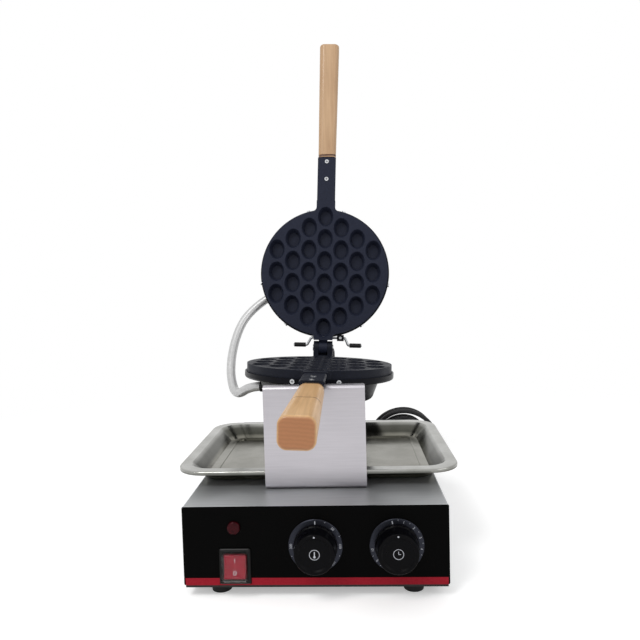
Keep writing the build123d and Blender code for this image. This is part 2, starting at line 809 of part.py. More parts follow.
with BuildPart() as upper_cover:
    add(back_cover(upper_frame, (lid_gland,)))
with BuildPart() as upper_heater:
    add(heater(upper_frame))
with BuildPart() as upper_tang:
    add(tang(upper_frame))
with BuildPart() as upper_grip:
    add(grip(upper_frame, ((root_groove, root_groove_width),)))
with BuildPart() as upper_lip_screws:
    add(lip_screws(upper_frame))
with BuildPart() as upper_neck_screws:
    add(neck_screws(upper_frame))
with BuildPart() as upper_gland:
    add(gland(upper_frame, lid_gland))

# Stop rod through the lid's root, cranked to its rubber sleeves on both sides. The lid's frame counts
# across from right to left.

rod_straight, rod_cranked = hinge_reach - rod_reach, hinge_reach - sleeve_reach
rod_stops = [(41.5, rod_cranked), (22.5, rod_cranked), (17, rod_straight), (-31, rod_straight),
             (-35.5, rod_cranked), (-54.5, rod_cranked)]
sleeve_spans = ((40.5, 24.5), (-37.5, -53.5))
collar_middle = -24.4

with BuildPart() as stop_rod:
    with BuildLine(upper_frame.offset(-rod_sink)) as rod_path:
        FilletPolyline(*rod_stops, radius=3)
    with BuildSketch(Plane(rod_path.line @ 0, z_dir=rod_path.line % 0)):
        Circle(rod_radius)
    sweep(path=rod_path.line)

with BuildPart() as stop_sleeves:
    for start, end in sleeve_spans:
        spot = at(upper_frame, start, rod_cranked, -rod_sink)
        with BuildSketch(Plane(spot, z_dir=upper_frame.x_dir * -1)):
            Circle(sleeve_radius)
            Circle(rod_radius + running_gap, mode=Mode.SUBTRACT)
        extrude(amount=start - end)

collar_face = Plane(at(upper_frame, collar_middle, rod_straight, 4 - rod_sink), z_dir=upper_frame.z_dir)

with BuildPart() as rod_collar:
    with BuildSketch(side_plane(upper_frame, collar_middle)):
        with Locations((rod_straight, -rod_sink)):
            RectangleRounded(8.8, 8, 1)
            Circle(rod_radius + running_gap, mode=Mode.SUBTRACT)
    extrude(amount=4.8, both=True)
    with BuildSketch(collar_face):
        Circle(1.2 + running_gap)
    extrude(amount=-2.6, mode=Mode.SUBTRACT)

with BuildPart() as collar_screw:
    add(pan_screw(collar_face, collar_screw_head, 1.2, 2, 1.2))

# Controls

with BuildPart() as lamp_body:
    with BuildSketch(front_plane.offset(-18)):
        with Locations((lamp_x, -lamp_drop)):
            Circle(lamp_neck)
    extrude(amount=18)
    with BuildSketch(front_plane.offset(-panel_sheet - 3)):
        with Locations((lamp_x, -lamp_drop)):
            RegularPolygon(7.5, 6)
    extrude(amount=3)

with BuildPart() as lamp_lens:
    with BuildSketch(front_plane):
        with Locations((lamp_x, -lamp_drop)):
            Circle(lamp_radius)
    extrude(amount=3.2)
    fillet(lamp_lens.edges().group_by(Axis.Y)[0], 1.8)

switch_plane = Plane((switch_x, front_y, box_top - switch_drop), x_dir=(1, 0, 0), z_dir=(0, -1, 0))
rocker_side = Plane((switch_x, front_y, box_top - switch_drop), x_dir=(0, 1, 0), z_dir=(1, 0, 0))
switch_mouth = (switch_width - 2 * switch_wall, switch_tall - 2 * switch_wall)
rocker_half = switch_mouth[0] / 2 - rocker_gap
axle_half = switch_width / 2 - 0.3
boot_size = (switch_width + 2 * boot_margin, switch_tall + 2 * boot_margin)

with BuildPart() as switch_body:
    with BuildSketch(switch_plane.offset(-22)):
        Rectangle(switch_width, switch_tall)
    extrude(amount=22)
    with BuildSketch(switch_plane.offset(-9)):
        Rectangle(*switch_mouth)
    extrude(amount=9, mode=Mode.SUBTRACT)
    with BuildSketch(rocker_side):
        with Locations((rocker_sink, 0)):
            Circle(1.2 + running_gap)
    extrude(amount=axle_half + 0.1, both=True, mode=Mode.SUBTRACT)
    with BuildSketch(switch_plane.offset(-28)):
        with GridLocations(7, 14, 2, 2):
            Rectangle(0.8, 4.8)
    extrude(amount=6)

with BuildPart() as switch_frame:
    with BuildSketch(switch_plane):
        RectangleRounded(bezel_width, bezel_tall, 2)
        Rectangle(*switch_mouth, mode=Mode.SUBTRACT)
    extrude(amount=2.2)
    chamfer(switch_frame.faces().sort_by(Axis.Y)[0].outer_wire().edges(), 0.8)

with BuildPart() as switch_rocker:
    press = math.radians(-rocker_swing / 2)
    with BuildSketch(Plane(at(rocker_side, rocker_sink, 0, 0), x_dir=(0, math.cos(press), math.sin(press)),
                           z_dir=(1, 0, 0))):
        with BuildLine():
            Polyline((-6.2, 11.2), (3, 11.2), (4.6, 0), (3, -11.2), (-6.2, -11.2))
            ThreePointArc((-6.2, -11.2), (-4.6, 0), (-6.2, 11.2))
        make_face()
    extrude(amount=rocker_half, both=True)
    with BuildSketch(rocker_side):
        with Locations((rocker_sink, 0)):
            Circle(1.2)
    extrude(amount=axle_half, both=True)

with BuildPart() as switch_boot:
    with BuildSketch(switch_plane.offset(2.2)):
        RectangleRounded(*boot_size, 3)
    extrude(amount=5.2, taper=6)
    fillet(switch_boot.faces().sort_by(Axis.Y)[0].edges(), 1.5)
    with BuildSketch(switch_plane.offset(2.2)):
        RectangleRounded(*(size - 2 * boot_wall for size in boot_size), 3 - boot_wall)
    extrude(amount=5.2 - boot_wall, taper=6, mode=Mode.SUBTRACT)

dial_planes = [Plane((x, front_y, box_top - knob_drop), x_dir=(1, 0, 0), z_dir=(0, -1, 0)) for x in knob_x]


def dial_ring(plane):
    """A printed ring on the panel round a knob."""
    with BuildPart() as ring:
        with BuildSketch(plane):
            Circle(skirt_radius)
            Circle(bush_radius + 1.5, mode=Mode.SUBTRACT)
        extrude(amount=1)
        chamfer(ring.edges().filter_by(GeomType.CIRCLE).group_by(Axis.Y)[0].sort_by(SortBy.RADIUS)[-1], 0.5)
    return ring.part


def knob(plane):
    """A push-on knob: a slightly coned body with a dished face and a raised grip round its foot."""
    with BuildPart() as cap:
        side = Plane(plane.origin, x_dir=plane.x_dir, z_dir=(0, 0, 1))
        with BuildSketch(side):
            with BuildLine():
                foot, face = -1.6, -1.6 - knob_height
                Polyline((0, foot), (knob_radius + 1, foot), (knob_radius + 1, foot - 3),
                         (knob_radius, foot - 4), (knob_radius - 1, face), (knob_radius - 4, face),
                         (knob_radius - 5.5, face + 1.2), (0, face + 1.2), close=True)
            make_face()
        revolve(axis=Axis(plane.origin, plane.z_dir))
        fillet(cap.edges().filter_by(GeomType.CIRCLE).group_by(Axis.Y)[0].sort_by(SortBy.RADIUS)[-1], 1.2)
        with BuildSketch(plane.offset(1.6)):
            Circle(spindle_radius + running_gap)
        extrude(amount=14, mode=Mode.SUBTRACT)
        with BuildSketch(plane.offset(1.6)):
            with PolarLocations(knob_radius + 1.6, 20):
                Circle(1.3)
        extrude(amount=knob_height, mode=Mode.SUBTRACT)
    return cap.part


def spindle(plane, depth):
    """The spindle a knob is pushed on."""
    with BuildPart() as rod:
        with BuildSketch(plane.offset(-depth)):
            Circle(spindle_radius)
        extrude(amount=depth + 14)
    return rod.part


def control_body(plane, width, depth):
    """A control behind the panel, its threaded bush through the panel and its spindle in the bush."""
    with BuildPart() as body:
        with BuildSketch(plane.offset(-panel_sheet)):
            RectangleRounded(width, width, 3)
        extrude(amount=-depth)
        with BuildSketch(plane.offset(-panel_sheet)):
            Circle(bush_radius)
        extrude(amount=panel_sheet + 1.2)
        with BuildSketch(plane.offset(1.2)):
            Circle(spindle_radius + running_gap)
        extrude(amount=-10, mode=Mode.SUBTRACT)
    return body.part


with BuildPart() as temperature_dial:
    add(dial_ring(dial_planes[0]))
with BuildPart() as timer_dial:
    add(dial_ring(dial_planes[1]))
with BuildPart() as temperature_knob:
    add(knob(dial_planes[0]))
with BuildPart() as timer_knob:
    add(knob(dial_planes[1]))
with BuildPart() as temperature_spindle:
    add(spindle(dial_planes[0], 8.5))
with BuildPart() as timer_spindle:
    add(spindle(dial_planes[1], 8.5))
with BuildPart() as thermostat:
    add(control_body(dial_planes[0], 34, 26))
with BuildPart() as timer_body:
    add(control_body(dial_planes[1], 44, 38))

with BuildPart() as terminal_block:
    with BuildSketch(Plane((40, back_y - 60, foot_height + panel_sheet))):
        Rectangle(52, 18)
    extrude(amount=14)
    with BuildSketch(Plane((40, back_y - 60, foot_height + panel_sheet + 14))):
        with GridLocations(12, 10, 4, 2):
            Circle(2.4)
    extrude(amount=-5, mode=Mode.SUBTRACT)

# Hoses

def in_base(x, y, z):
    """A point from the middle of the panel's top edge: across, back, and up from the base's top."""
    return Vector(x, front_y + y, box_top + z)


def gland_points(frame, angle):
    """Where a hose starts in its gland and where it is clear of it."""
    return (rim_plane(frame, angle, gland_inner + 2, gland_depth).origin,
            rim_plane(frame, angle, gland_outer + 12, gland_depth).origin)


with BuildPart() as base_gland:
    with BuildSketch(top_plane.offset(-cover_sheet - 4)):
        with Locations((base_gland_x, base_gland_y)):
            Circle(base_gland_neck)
    extrude(amount=cover_sheet + 4 + stand_sheet)
    with BuildSketch(top_plane.offset(stand_sheet)):
        with Locations((base_gland_x, base_gland_y)):
            Circle(9)
    extrude(amount=6)
    chamfer(base_gland.edges().group_by(Axis.Z)[-1], 1)
    with BuildSketch(top_plane.offset(stand_sheet + 6)):
        with Locations((base_gland_x, base_gland_y)):
            Circle(hose_radius + running_gap)
    extrude(amount=-16, mode=Mode.SUBTRACT)

lid_start, lid_clear = gland_points(upper_frame, lid_gland)
left_start, left_clear = gland_points(lower_frame, mould_glands[0])
right_start, right_clear = gland_points(lower_frame, mould_glands[1])

lid_hose_route = [lid_start, lid_clear, in_base(-110, 307, 168), in_base(-122, 288, 142),
                  in_base(-126, 262, 112), in_base(-123, 238, 86), in_base(-112, 215, 66),
                  left_clear, left_start]
feed_hose_route = [right_start, right_clear, in_base(54, 266, 52),
                   in_base(base_gland_x, base_gland_y, 30),
                   in_base(base_gland_x, base_gland_y, -3)]

with BuildPart() as lid_hose:
    add(tube(lid_hose_route, hose_radius, hose_bore))
with BuildPart() as feed_hose:
    add(tube(feed_hose_route, hose_radius, hose_bore))

# Mains cord: from the rear panel down to the table, round a flat coil that leans on the base, and on
# to its plug behind the base

lean = math.radians(coil_lean)
lie = cord_radius + 0.05
coil_out = (box_top - lie) * math.tan(lean) + (cord_radius + 0.5) / math.cos(lean)
coil_frame = Plane((coil_x, back_y + coil_out - coil_radius * math.sin(lean),
                    lie + coil_radius * math.cos(lean)),
                   x_dir=(1, 0, 0), z_dir=(0, math.cos(lean), math.sin(lean)))

# Where the half turns meet, below and above the coil's middle: in on one layer, out on the other.
heights = [side * (coil_radius - 2 * turn * coil_step) for turn in range(3) for side in (1, -1)]
stops = [(height, 0) for height in heights]
stops.append((heights[-2] - 2 * coil_step - coil_pinch, coil_layer))
stops += [(height, coil_layer) for height in reversed(heights[1:])]

with BuildPart() as cord_coil:
    with BuildLine() as coil_path:
        for (y0, z0), (y1, z1) in zip(stops, stops[1:]):
            reach = math.hypot(y1 - y0, z1 - z0) / 2
            side = 1 if y0 > y1 else -1
            ThreePointArc(at(coil_frame, 0, y0, z0),
                          at(coil_frame, side * reach, (y0 + y1) / 2, (z0 + z1) / 2),
                          at(coil_frame, 0, y1, z1))
        coil_end = at(coil_frame, -coil_radius, 0, coil_layer)
        diagonal = coil_radius * math.sqrt(0.5)
        ThreePointArc(at(coil_frame, 0, -coil_radius, coil_layer),
                      at(coil_frame, -diagonal, -diagonal, coil_layer), coil_end)
    with BuildSketch(Plane(coil_path.line @ 0, z_dir=coil_path.line % 0)):
        Circle(cord_radius)
    sweep(path=coil_path.line)

with BuildPart() as cord_gland:
    exit_plane = Plane((cord_exit_x, back_y, box_top - cord_exit_drop), z_dir=(0, 1, 0))
    with BuildSketch(exit_plane.offset(-panel_sheet - 6)):
        Circle(cord_gland_neck)
    extrude(amount=panel_sheet + 6)
    with BuildSketch(exit_plane):
        RegularPolygon(9.5, 6)
    extrude(amount=5)
    with BuildSketch(exit_plane.offset(5)):
        Circle(7)
    extrude(amount=5)
    chamfer(cord_gland.edges().group_by(Axis.Y)[-1], 1.5)
    with BuildSketch(exit_plane.offset(10)):
        Circle(cord_radius + running_gap)
    extrude(amount=-20, mode=Mode.SUBTRACT)


def behind(x, y, z):
    """A point on or over the table behind the base."""
    return Vector(x, back_y + y, z)


coil_start = at(coil_frame, 0, *stops[0])
tail_drop = (coil_end.Z - lie) / math.cos(lean)
tail_corner = at(coil_frame, -coil_radius, tail_drop, coil_layer)
exit_z = box_top - cord_exit_drop
lead_route = [behind(cord_exit_x, -6, exit_z), behind(cord_exit_x, 36, exit_z),
              behind(8, 41, 10), Vector(60, coil_start.Y, lie), coil_start]
tail_route = [coil_end, tail_corner, behind(22, 56, lie), behind(-18, 70, lie),
              behind(-56, 64, lie), behind(-88, 56, plug_radius), behind(-122, 49, plug_radius)]

with BuildPart() as cord_lead:
    add(tube(lead_route, cord_radius))
with BuildPart() as cord_tail:
    add(tube(tail_route, cord_radius))

plug_axis = (tail_route[-1] - tail_route[-2]).normalized()
plug_back = Plane(tail_route[-1] - plug_axis * plug_bore, x_dir=(0, 0, 1), z_dir=plug_axis)

with BuildPart() as plug_body:
    with BuildSketch(Plane(plug_back.origin, x_dir=plug_axis, z_dir=Vector(0, 0, 1))):
        with BuildLine():
            fit = cord_radius + running_gap
            Polyline((0, fit), (0, fit + 1.2), (26, 8.5), (30, 14.5), (34, plug_radius - 0.1),
                     (60, plug_radius - 0.1), (66, plug_radius - 1.6), (66, 0), (plug_bore, 0),
                     (plug_bore, fit), close=True)
        make_face()
    revolve(axis=Axis(plug_back.origin, plug_axis))
    fillet(plug_body.edges().filter_by(GeomType.CIRCLE).sort_by(SortBy.RADIUS)[-2:], 1.5)
    with BuildSketch(plug_back.offset(66)):
        with GridLocations(0, 19, 1, 2):
            Circle(2.4 + running_gap)
    extrude(amount=-10, mode=Mode.SUBTRACT)

with BuildPart() as plug_pins:
    with BuildSketch(plug_back.offset(56)):
        with GridLocations(0, 19, 1, 2):
            Circle(2.4)
    extrude(amount=29)
    fillet(plug_pins.edges().sort_by(Axis(plug_back.origin, plug_axis))[-2:], 1.2)

# Checks on the cord, and the files

coil_wire = coil_path.wires()[0]
coil_points = [coil_wire @ (step / 600) for step in range(601)]
coil_length = coil_wire.length
apart = round(12 * cord_radius / coil_length * 600)
least = min((coil_points[i] - coil_points[j]).length
            for i in range(0, 601, 2) for j in range(i + apart, 601))
print("least gap in the coil", round(least - 2 * cord_radius, 2))
print("lead radii", [round(r, 1) for r in bends(lead_route)])
print("tail radii", [round(r, 1) for r in bends(tail_route)])
print("lid hose radii", [round(r, 1) for r in bends(lid_hose_route)])
print("feed hose radii", [round(r, 1) for r in bends(feed_hose_route)])
section = math.pi * cord_radius ** 2
lengths = [piece.part.volume / section for piece in (cord_lead, cord_coil, cord_tail)]
print("cord length", round(sum(lengths)))
print("coil by its path", round(coil_length), "by its volume", round(lengths[1]))

pieces = {
    "base_cover": base_cover, "bottom_plate": bottom_plate, "front_panel": front_panel,
    "panel_stripe": panel_stripe, "rear_panel": rear_panel, "feet": feet, "foot_screws": foot_screws,
    "cover_screws": cover_screws, "stand": stand, "stand_screws": stand_screws,
    "bearing_block": bearing_block, "block_screws": block_screws, "tray": tray,
    "lower_mould": lower_mould, "turning_shaft": turning_shaft, "shaft_collar": shaft_collar,
    "hinge_pin": hinge_pin, "lower_cover": lower_cover, "lower_heater": lower_heater,
    "lower_tang": lower_tang, "lower_grip": lower_grip, "lower_lip_screws": lower_lip_screws,
    "lower_neck_screws": lower_neck_screws, "lower_glands": lower_glands,
    "upper_mould": upper_mould, "upper_cover": upper_cover, "upper_heater": upper_heater,
    "upper_tang": upper_tang, "upper_grip": upper_grip, "upper_lip_screws": upper_lip_screws,
    "upper_neck_screws": upper_neck_screws, "upper_gland": upper_gland, "stop_rod": stop_rod,
    "stop_sleeves": stop_sleeves, "rod_collar": rod_collar, "collar_screw": collar_screw,
    "lamp_body": lamp_body, "lamp_lens": lamp_lens, "switch_body": switch_body,
    "switch_frame": switch_frame, "switch_rocker": switch_rocker, "switch_boot": switch_boot,
    "temperature_dial": temperature_dial, "timer_dial": timer_dial,
    "temperature_knob": temperature_knob, "timer_knob": timer_knob,
    "temperature_spindle": temperature_spindle, "timer_spindle": timer_spindle,
    "thermostat": thermostat, "timer_body": timer_body, "terminal_block": terminal_block,
    "base_gland": base_gland, "lid_hose": lid_hose, "feed_hose": feed_hose,
    "cord_gland": cord_gland, "cord_lead": cord_lead, "cord_coil": cord_coil, "cord_tail": cord_tail,
    "plug_body": plug_body, "plug_pins": plug_pins,
}

os.makedirs("parts", exist_ok=True)
for name, piece in pieces.items():
    piece.part.label = name
    export_step(piece.part, f"parts/{name}.step")
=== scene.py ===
import math

import bmesh
import bpy
from mathutils import Matrix, Vector
from mathutils.bvhtree import BVHTree


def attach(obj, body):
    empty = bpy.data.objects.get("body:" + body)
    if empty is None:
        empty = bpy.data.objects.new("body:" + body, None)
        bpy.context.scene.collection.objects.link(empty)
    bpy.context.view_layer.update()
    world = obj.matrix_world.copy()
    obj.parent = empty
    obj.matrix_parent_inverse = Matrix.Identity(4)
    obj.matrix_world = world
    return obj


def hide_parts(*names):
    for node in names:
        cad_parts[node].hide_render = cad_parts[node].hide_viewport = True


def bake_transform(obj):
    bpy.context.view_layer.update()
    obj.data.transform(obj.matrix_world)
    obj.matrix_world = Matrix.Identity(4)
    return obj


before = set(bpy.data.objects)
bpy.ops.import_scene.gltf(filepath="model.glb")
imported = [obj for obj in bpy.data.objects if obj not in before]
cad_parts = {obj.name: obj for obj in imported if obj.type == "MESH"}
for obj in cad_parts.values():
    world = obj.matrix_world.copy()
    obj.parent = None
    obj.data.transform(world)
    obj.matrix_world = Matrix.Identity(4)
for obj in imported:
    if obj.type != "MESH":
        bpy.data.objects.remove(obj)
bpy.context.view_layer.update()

scene = bpy.context.scene

# Viewpoint: where the photograph was taken from, a little to the right of the machine and level with
# the lid's hinge, looking slightly to the left and down. One unit is a metre throughout.
eye = Vector((0.03642, -0.65507, 0.30063))
eye_turn, eye_dip, eye_roll = math.radians(2.60), math.radians(3.12), math.radians(-1.54)
camera_data = bpy.data.cameras.new("viewpoint")
camera_data.lens = 33.57
camera_data.sensor_width = 36.0
camera_data.shift_x, camera_data.shift_y = -0.0008, -0.0062
camera = bpy.data.objects.new("viewpoint", camera_data)
camera.matrix_world = (Matrix.Translation(eye) @ Matrix.Rotation(eye_turn, 4, "Z")
                       @ Matrix.Rotation(math.pi / 2 - eye_dip, 4, "X") @ Matrix.Rotation(eye_roll, 4, "Z"))
scene.collection.objects.link(camera)
scene.camera = camera
scene.view_settings.view_transform = "Standard"

# Mains cord: round PVC-sheathed cord out of the rear panel, down to the table, round a flat coil that
# leans on the base's back, and on to its plug. The coil's half turns go in on one layer and out on the
# other.
millimetre = 0.001
cord_width = 0.0065
cord_exit = Vector((-0.020, 0.2502, 0.042))
lead_points = [(-0.0200, 0.2442, 0.0420), (-0.0200, 0.2862, 0.0420), (0.0080, 0.2912, 0.0100),
               (0.0600, 0.2678, 0.0033)]
tail_points = [(0.0675, 0.2771, 0.0033), (0.0220, 0.3062, 0.0033), (-0.0180, 0.3202, 0.0033),
               (-0.0560, 0.3142, 0.0033), (-0.0880, 0.3062, 0.0170), (-0.1220, 0.2992, 0.0170)]
coil_middle = Vector((0.118, 0.259867, 0.053178))
coil_lean = math.radians(9.0)
coil_down = Vector((0, math.sin(coil_lean), -math.cos(coil_lean)))
coil_back = Vector((0, math.cos(coil_lean), math.sin(coil_lean)))
coil_radius, coil_step, coil_pinch, coil_layer = 0.0505, 0.0058, 0.0040, 0.0092
coil_heights = [side * (coil_radius - 2 * turn * coil_step) for turn in range(3) for side in (1, -1)]
coil_turns = [(height, 0) for height in coil_heights]
coil_turns.append((coil_heights[-2] - 2 * coil_step - coil_pinch, coil_layer))
coil_turns += [(height, coil_layer) for height in reversed(coil_heights[1:])]
points_per_half, points_to_tail = 10, 6


def coil_points():
    """Points round the coil: half turns from one height to the next, then a quarter turn to the tail."""
    points = []
    for (start, near), (end, far) in zip(coil_turns, coil_turns[1:]):
        side = 1 if start > end else -1
        for step in range(points_per_half):
            share = (step + 0.5) / points_per_half
            down = (start + end) / 2 + (start - end) / 2 * math.cos(math.pi * share)
            aside = side * abs(start - end) / 2 * math.sin(math.pi * share)
            points.append(coil_middle + Vector((aside, 0, 0)) + coil_down * down
                          + coil_back * (near + (far - near) * share))
    for step in range(points_to_tail):
        angle = math.pi * (step + 0.5) / points_per_half
        points.append(coil_middle + Vector((-coil_radius * math.sin(angle), 0, 0))
                      - coil_down * coil_radius * math.cos(angle) + coil_back * coil_layer)
    return points


def route_line(name, points, width):
    """A round cord or hose as a smooth line with a thickness."""
    line = bpy.data.curves.new(name, "CURVE")
    line.dimensions = "3D"
    line.resolution_u = 8
    line.bevel_depth = width / 2
    line.bevel_resolution = 5
    line.use_fill_caps = True
    spline = line.splines.new("NURBS")
    spline.points.add(len(points) - 1)
    for control, place in zip(spline.points, points):
        control.co = (*place, 1)
    spline.order_u = 3
    spline.use_endpoint_u = True
    piece = bpy.data.objects.new(name, line)
    scene.collection.objects.link(piece)
    return piece


def linear(colour):
    """A written sRGB colour as linear light."""
    parts = [int(colour[i:i + 2], 16) / 255 for i in (1, 3, 5)]
    return [c / 12.92 if c <= 0.04045 else ((c + 0.055) / 1.055) ** 2.4 for c in parts] + [1.0]


def add_node(tree, kind, values=None, links=None, stops=None, **settings):
    """Adds one node with its settings, its sockets' values and links, and a ramp's stops."""
    node = tree.nodes.new("ShaderNode" + kind)
    for name, value in settings.items():
        setattr(node, name, value)
    for name, value in (values or {}).items():
        node.inputs[name].default_value = value
    for name, source in (links or {}).items():
        tree.links.new(source, node.inputs[name])
    if stops:
        ramp = node.color_ramp.elements
        for position, colour in stops[1:-1]:
            ramp.new(position).color = linear(colour)
        for end in (0, -1):
            ramp[end].position, ramp[end].color = stops[end][0], linear(stops[end][1])
    return node


def finish(name, colour, roughness, metallic=0.0, **values):
    """A material with one plain finish, before its detail. Returns it, its nodes and its shader."""
    material = bpy.data.materials.new(name)
    material.use_nodes = True
    shader = material.node_tree.nodes["Principled BSDF"]
    shader.inputs["Base Color"].default_value = linear(colour)
    shader.inputs["Roughness"].default_value = roughness
    shader.inputs["Metallic"].default_value = metallic
    for socket, value in values.items():
        shader.inputs[socket.replace("_", " ")].default_value = value
    return material, material.node_tree, shader


def add_grain(tree, shader, grain, relief, colours=None, detail=3.0, contrast=(0.35, 0.65)):
    """Texture with a real size along X, Y and Z in millimetres: relief in millimetres, and two colours
    that it runs between. Returns their output."""
    place = add_node(tree, "TexCoord").outputs["Object"]
    scaled = add_node(tree, "Mapping", {"Scale": [1000.0 / size for size in grain]}, {"Vector": place})
    noise = add_node(tree, "TexNoise", {"Scale": 1.0, "Detail": detail}, {"Vector": scaled.outputs[0]})
    if relief:
        bump = add_node(tree, "Bump", {"Strength": 1.0, "Distance": relief * millimetre},
                        {"Height": noise.outputs["Fac"]})
        tree.links.new(bump.outputs[0], shader.inputs["Normal"])
    if colours:
        tone = add_node(tree, "ValToRGB", links={"Fac": noise.outputs["Fac"]},
                        stops=list(zip(contrast, colours)))
        tree.links.new(tone.outputs["Color"], shader.inputs["Base Color"])
        return tone.outputs["Color"]


def add_smudges(tree, shader, size, low, high):
    """Roughness that wanders between two values over patches of a size in millimetres."""
    place = add_node(tree, "TexCoord").outputs["Object"]
    noise = add_node(tree, "TexNoise", {"Scale": 1000.0 / size, "Detail": 2.0}, {"Vector": place})
    rough = add_node(tree, "MapRange", {"From Min": 0.3, "From Max": 0.7, "To Min": low, "To Max": high},
                     {"Value": noise.outputs["Fac"]})
    tree.links.new(rough.outputs[0], shader.inputs["Roughness"])


def coat(piece, material):
    """Gives a new piece its material and the slot its finish is kept under."""
    piece.data.materials.clear()
    piece.data.materials.append(material)


# Soft PVC sheath: near black, a dull sheen along each turn. Its skin is drawn coarser than real.
cord_pvc, tree, shader = finish("cord_pvc", "#0e0e10", 0.42, Specular_IOR_Level=0.3)
add_grain(tree, shader, (2.5, 2.5, 2.5), 0.06, ("#0c0c0e", "#131315"))
add_smudges(tree, shader, 30, 0.36, 0.52)

mains_cord = route_line("mains_cord", [*lead_points, *coil_points(), *tail_points], cord_width)
coat(mains_cord, cord_pvc)
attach(mains_cord, "base")
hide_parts("cord_lead", "cord_coil", "cord_tail")

# Strain relief: a tapered sleeve of rubber, moulded on the cord where it leaves its gland. It runs out
# to little more than the cord's own width.
relief_start, relief_length = cord_exit.y + 0.0085, 0.028
relief_wide, relief_slim = 0.0056, 0.0039
relief_sides = 24
lead_turns_back = 0.01


def centreline(piece):
    """The points that a route's smooth line passes through."""
    bare = piece.data.copy()
    bare.bevel_depth = 0
    holder = bpy.data.objects.new("bare", bare)
    scene.collection.objects.link(holder)
    mesh = bpy.data.meshes.new_from_object(holder)
    points = [vertex.co.copy() for vertex in mesh.vertices]
    bpy.data.objects.remove(holder)
    return points


def ring(mesh, place, along, radius, sides):
    """A ring of vertices square to a line. Returns its edges."""
    face = along.to_track_quat("Z", "X").to_matrix().to_4x4()
    made = bmesh.ops.create_circle(mesh, segments=sides, radius=radius,
                                   matrix=Matrix.Translation(place) @ face)
    return list({edge for vertex in made["verts"] for edge in vertex.link_edges})


def sleeve_along(mesh, points, radii, sides):
    """A closed sleeve whose rings follow a line."""
    rings = []
    for i, (place, radius) in enumerate(zip(points, radii)):
        along = points[min(i + 1, len(points) - 1)] - points[max(i - 1, 0)]
        rings.append(ring(mesh, place, along, radius, sides))
    for near, far in zip(rings, rings[1:]):
        bmesh.ops.bridge_loops(mesh, edges=near + far)
    for end in (rings[0], rings[-1]):
        bmesh.ops.contextual_create(mesh, geom=end)
    bmesh.ops.recalc_face_normals(mesh, faces=mesh.faces)


def finished_mesh(name, mesh):
    """Turns modelled faces into an object, smooth but for its sharper edges."""
    sharpest_smooth = math.radians(35)
    for face in mesh.faces:
        face.smooth = True
    for edge in mesh.edges:
        edge.smooth = edge.is_manifold and edge.calc_face_angle(0) < sharpest_smooth
    data = bpy.data.meshes.new(name)
    mesh.to_mesh(data)
    mesh.free()
    piece = bpy.data.objects.new(name, data)
    scene.collection.objects.link(piece)
    return piece


cord_line = centreline(mains_cord)
relief_points = [point for point in cord_line if point.x < lead_turns_back
                 and relief_start < point.y < relief_start + relief_length]
shape = bmesh.new()
shares = [i / (len(relief_points) - 1) for i in range(len(relief_points))]
relief_radii = [relief_wide + (relief_slim - relief_wide) * share for share in shares]
sleeve_along(shape, relief_points, relief_radii, relief_sides)
cord_relief = finished_mesh("cord_relief", shape)

# Moulded rubber: matt black with a soft, dusty sheen, its grain drawn coarser than real.
black_rubber, tree, shader = finish("black_rubber", "#101011", 0.62, Specular_IOR_Level=0.25)
add_grain(tree, shader, (1.8, 1.8, 1.8), 0.12, ("#0d0d0e", "#161617"))
coat(cord_relief, black_rubber)
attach(cord_relief, "base")

# Plug: a rubber body moulded on the cord's end, the same rubber as the strain relief, with two round
# pins of brass set in it. The pins' nickel plate is a warm, bright grey with fine wear.


def dress(material, *names):
    """Gives the machine's own pieces a finish."""
    for name in names:
        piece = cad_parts[name]
        piece.data.materials.clear()
        piece.data.materials.append(material)


nickel_plate, tree, shader = finish("nickel_plate", "#c9c6bd", 0.24, 1.0)
add_smudges(tree, shader, 6, 0.18, 0.34)
dress(black_rubber, "plug_body")
dress(nickel_plate, "plug_pins")

# Hoses: heat-proof sleeves that carry the heaters' wires. The light one joins the two moulds at the left
# and bends with the lid; the dark one comes up from the base to the mould that turns.
hose_width = 0.012
lid_hose_points = [(-0.0534, 0.2226, 0.2925), (-0.0779, 0.2215, 0.2839), (-0.1100, 0.2072, 0.2580),
                   (-0.1220, 0.1882, 0.2320), (-0.1260, 0.1622, 0.2020), (-0.1230, 0.1382, 0.1760),
                   (-0.1120, 0.1152, 0.1560), (-0.0880, 0.0985, 0.1730), (-0.0624, 0.0940, 0.1720)]
feed_hose_points = [(0.0460, 0.1229, 0.1663), (0.0659, 0.1395, 0.1648), (0.0540, 0.1662, 0.1420),
                    (0.0200, 0.2037, 0.1200), (0.0200, 0.2037, 0.0870)]


def hose(name, points, node, material):
    """A hose as a mesh along its route. Returns it and its line."""
    drawn = route_line(name + "_line", points, hose_width)
    drawn.data.resolution_u = 16
    line = centreline(drawn)
    piece = bpy.data.objects.new(name, bpy.data.meshes.new_from_object(drawn))
    bpy.data.objects.remove(drawn)
    scene.collection.objects.link(piece)
    piece.data.polygons.foreach_set("use_smooth", [True] * len(piece.data.polygons))
    coat(piece, material)
    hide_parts(node)
    return piece, line


# Glass sleeve coated with silicone: pale silvery grey with a soft shine down its length.
coated_glass_sleeve, tree, shader = finish("coated_glass_sleeve", "#c2c2c2", 0.34, 0.45)
add_grain(tree, shader, (3, 3, 3), 0.02, ("#bebebe", "#c8c8c8"))
add_smudges(tree, shader, 18, 0.28, 0.40)

# Knitted glass sleeve: dark grey, mottled where the yarns cross, drawn coarse enough to show.
knitted_glass_sleeve, tree, shader = finish("knitted_glass_sleeve", "#4a4a4c", 0.6)
add_grain(tree, shader, (2.2, 2.2, 3.0), 0.5, ("#2b2b2d", "#77777a"), contrast=(0.38, 0.62))

lid_hose, lid_hose_line = hose("lid_hose_sleeve", lid_hose_points, "lid_hose",
                               coated_glass_sleeve)
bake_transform(lid_hose)

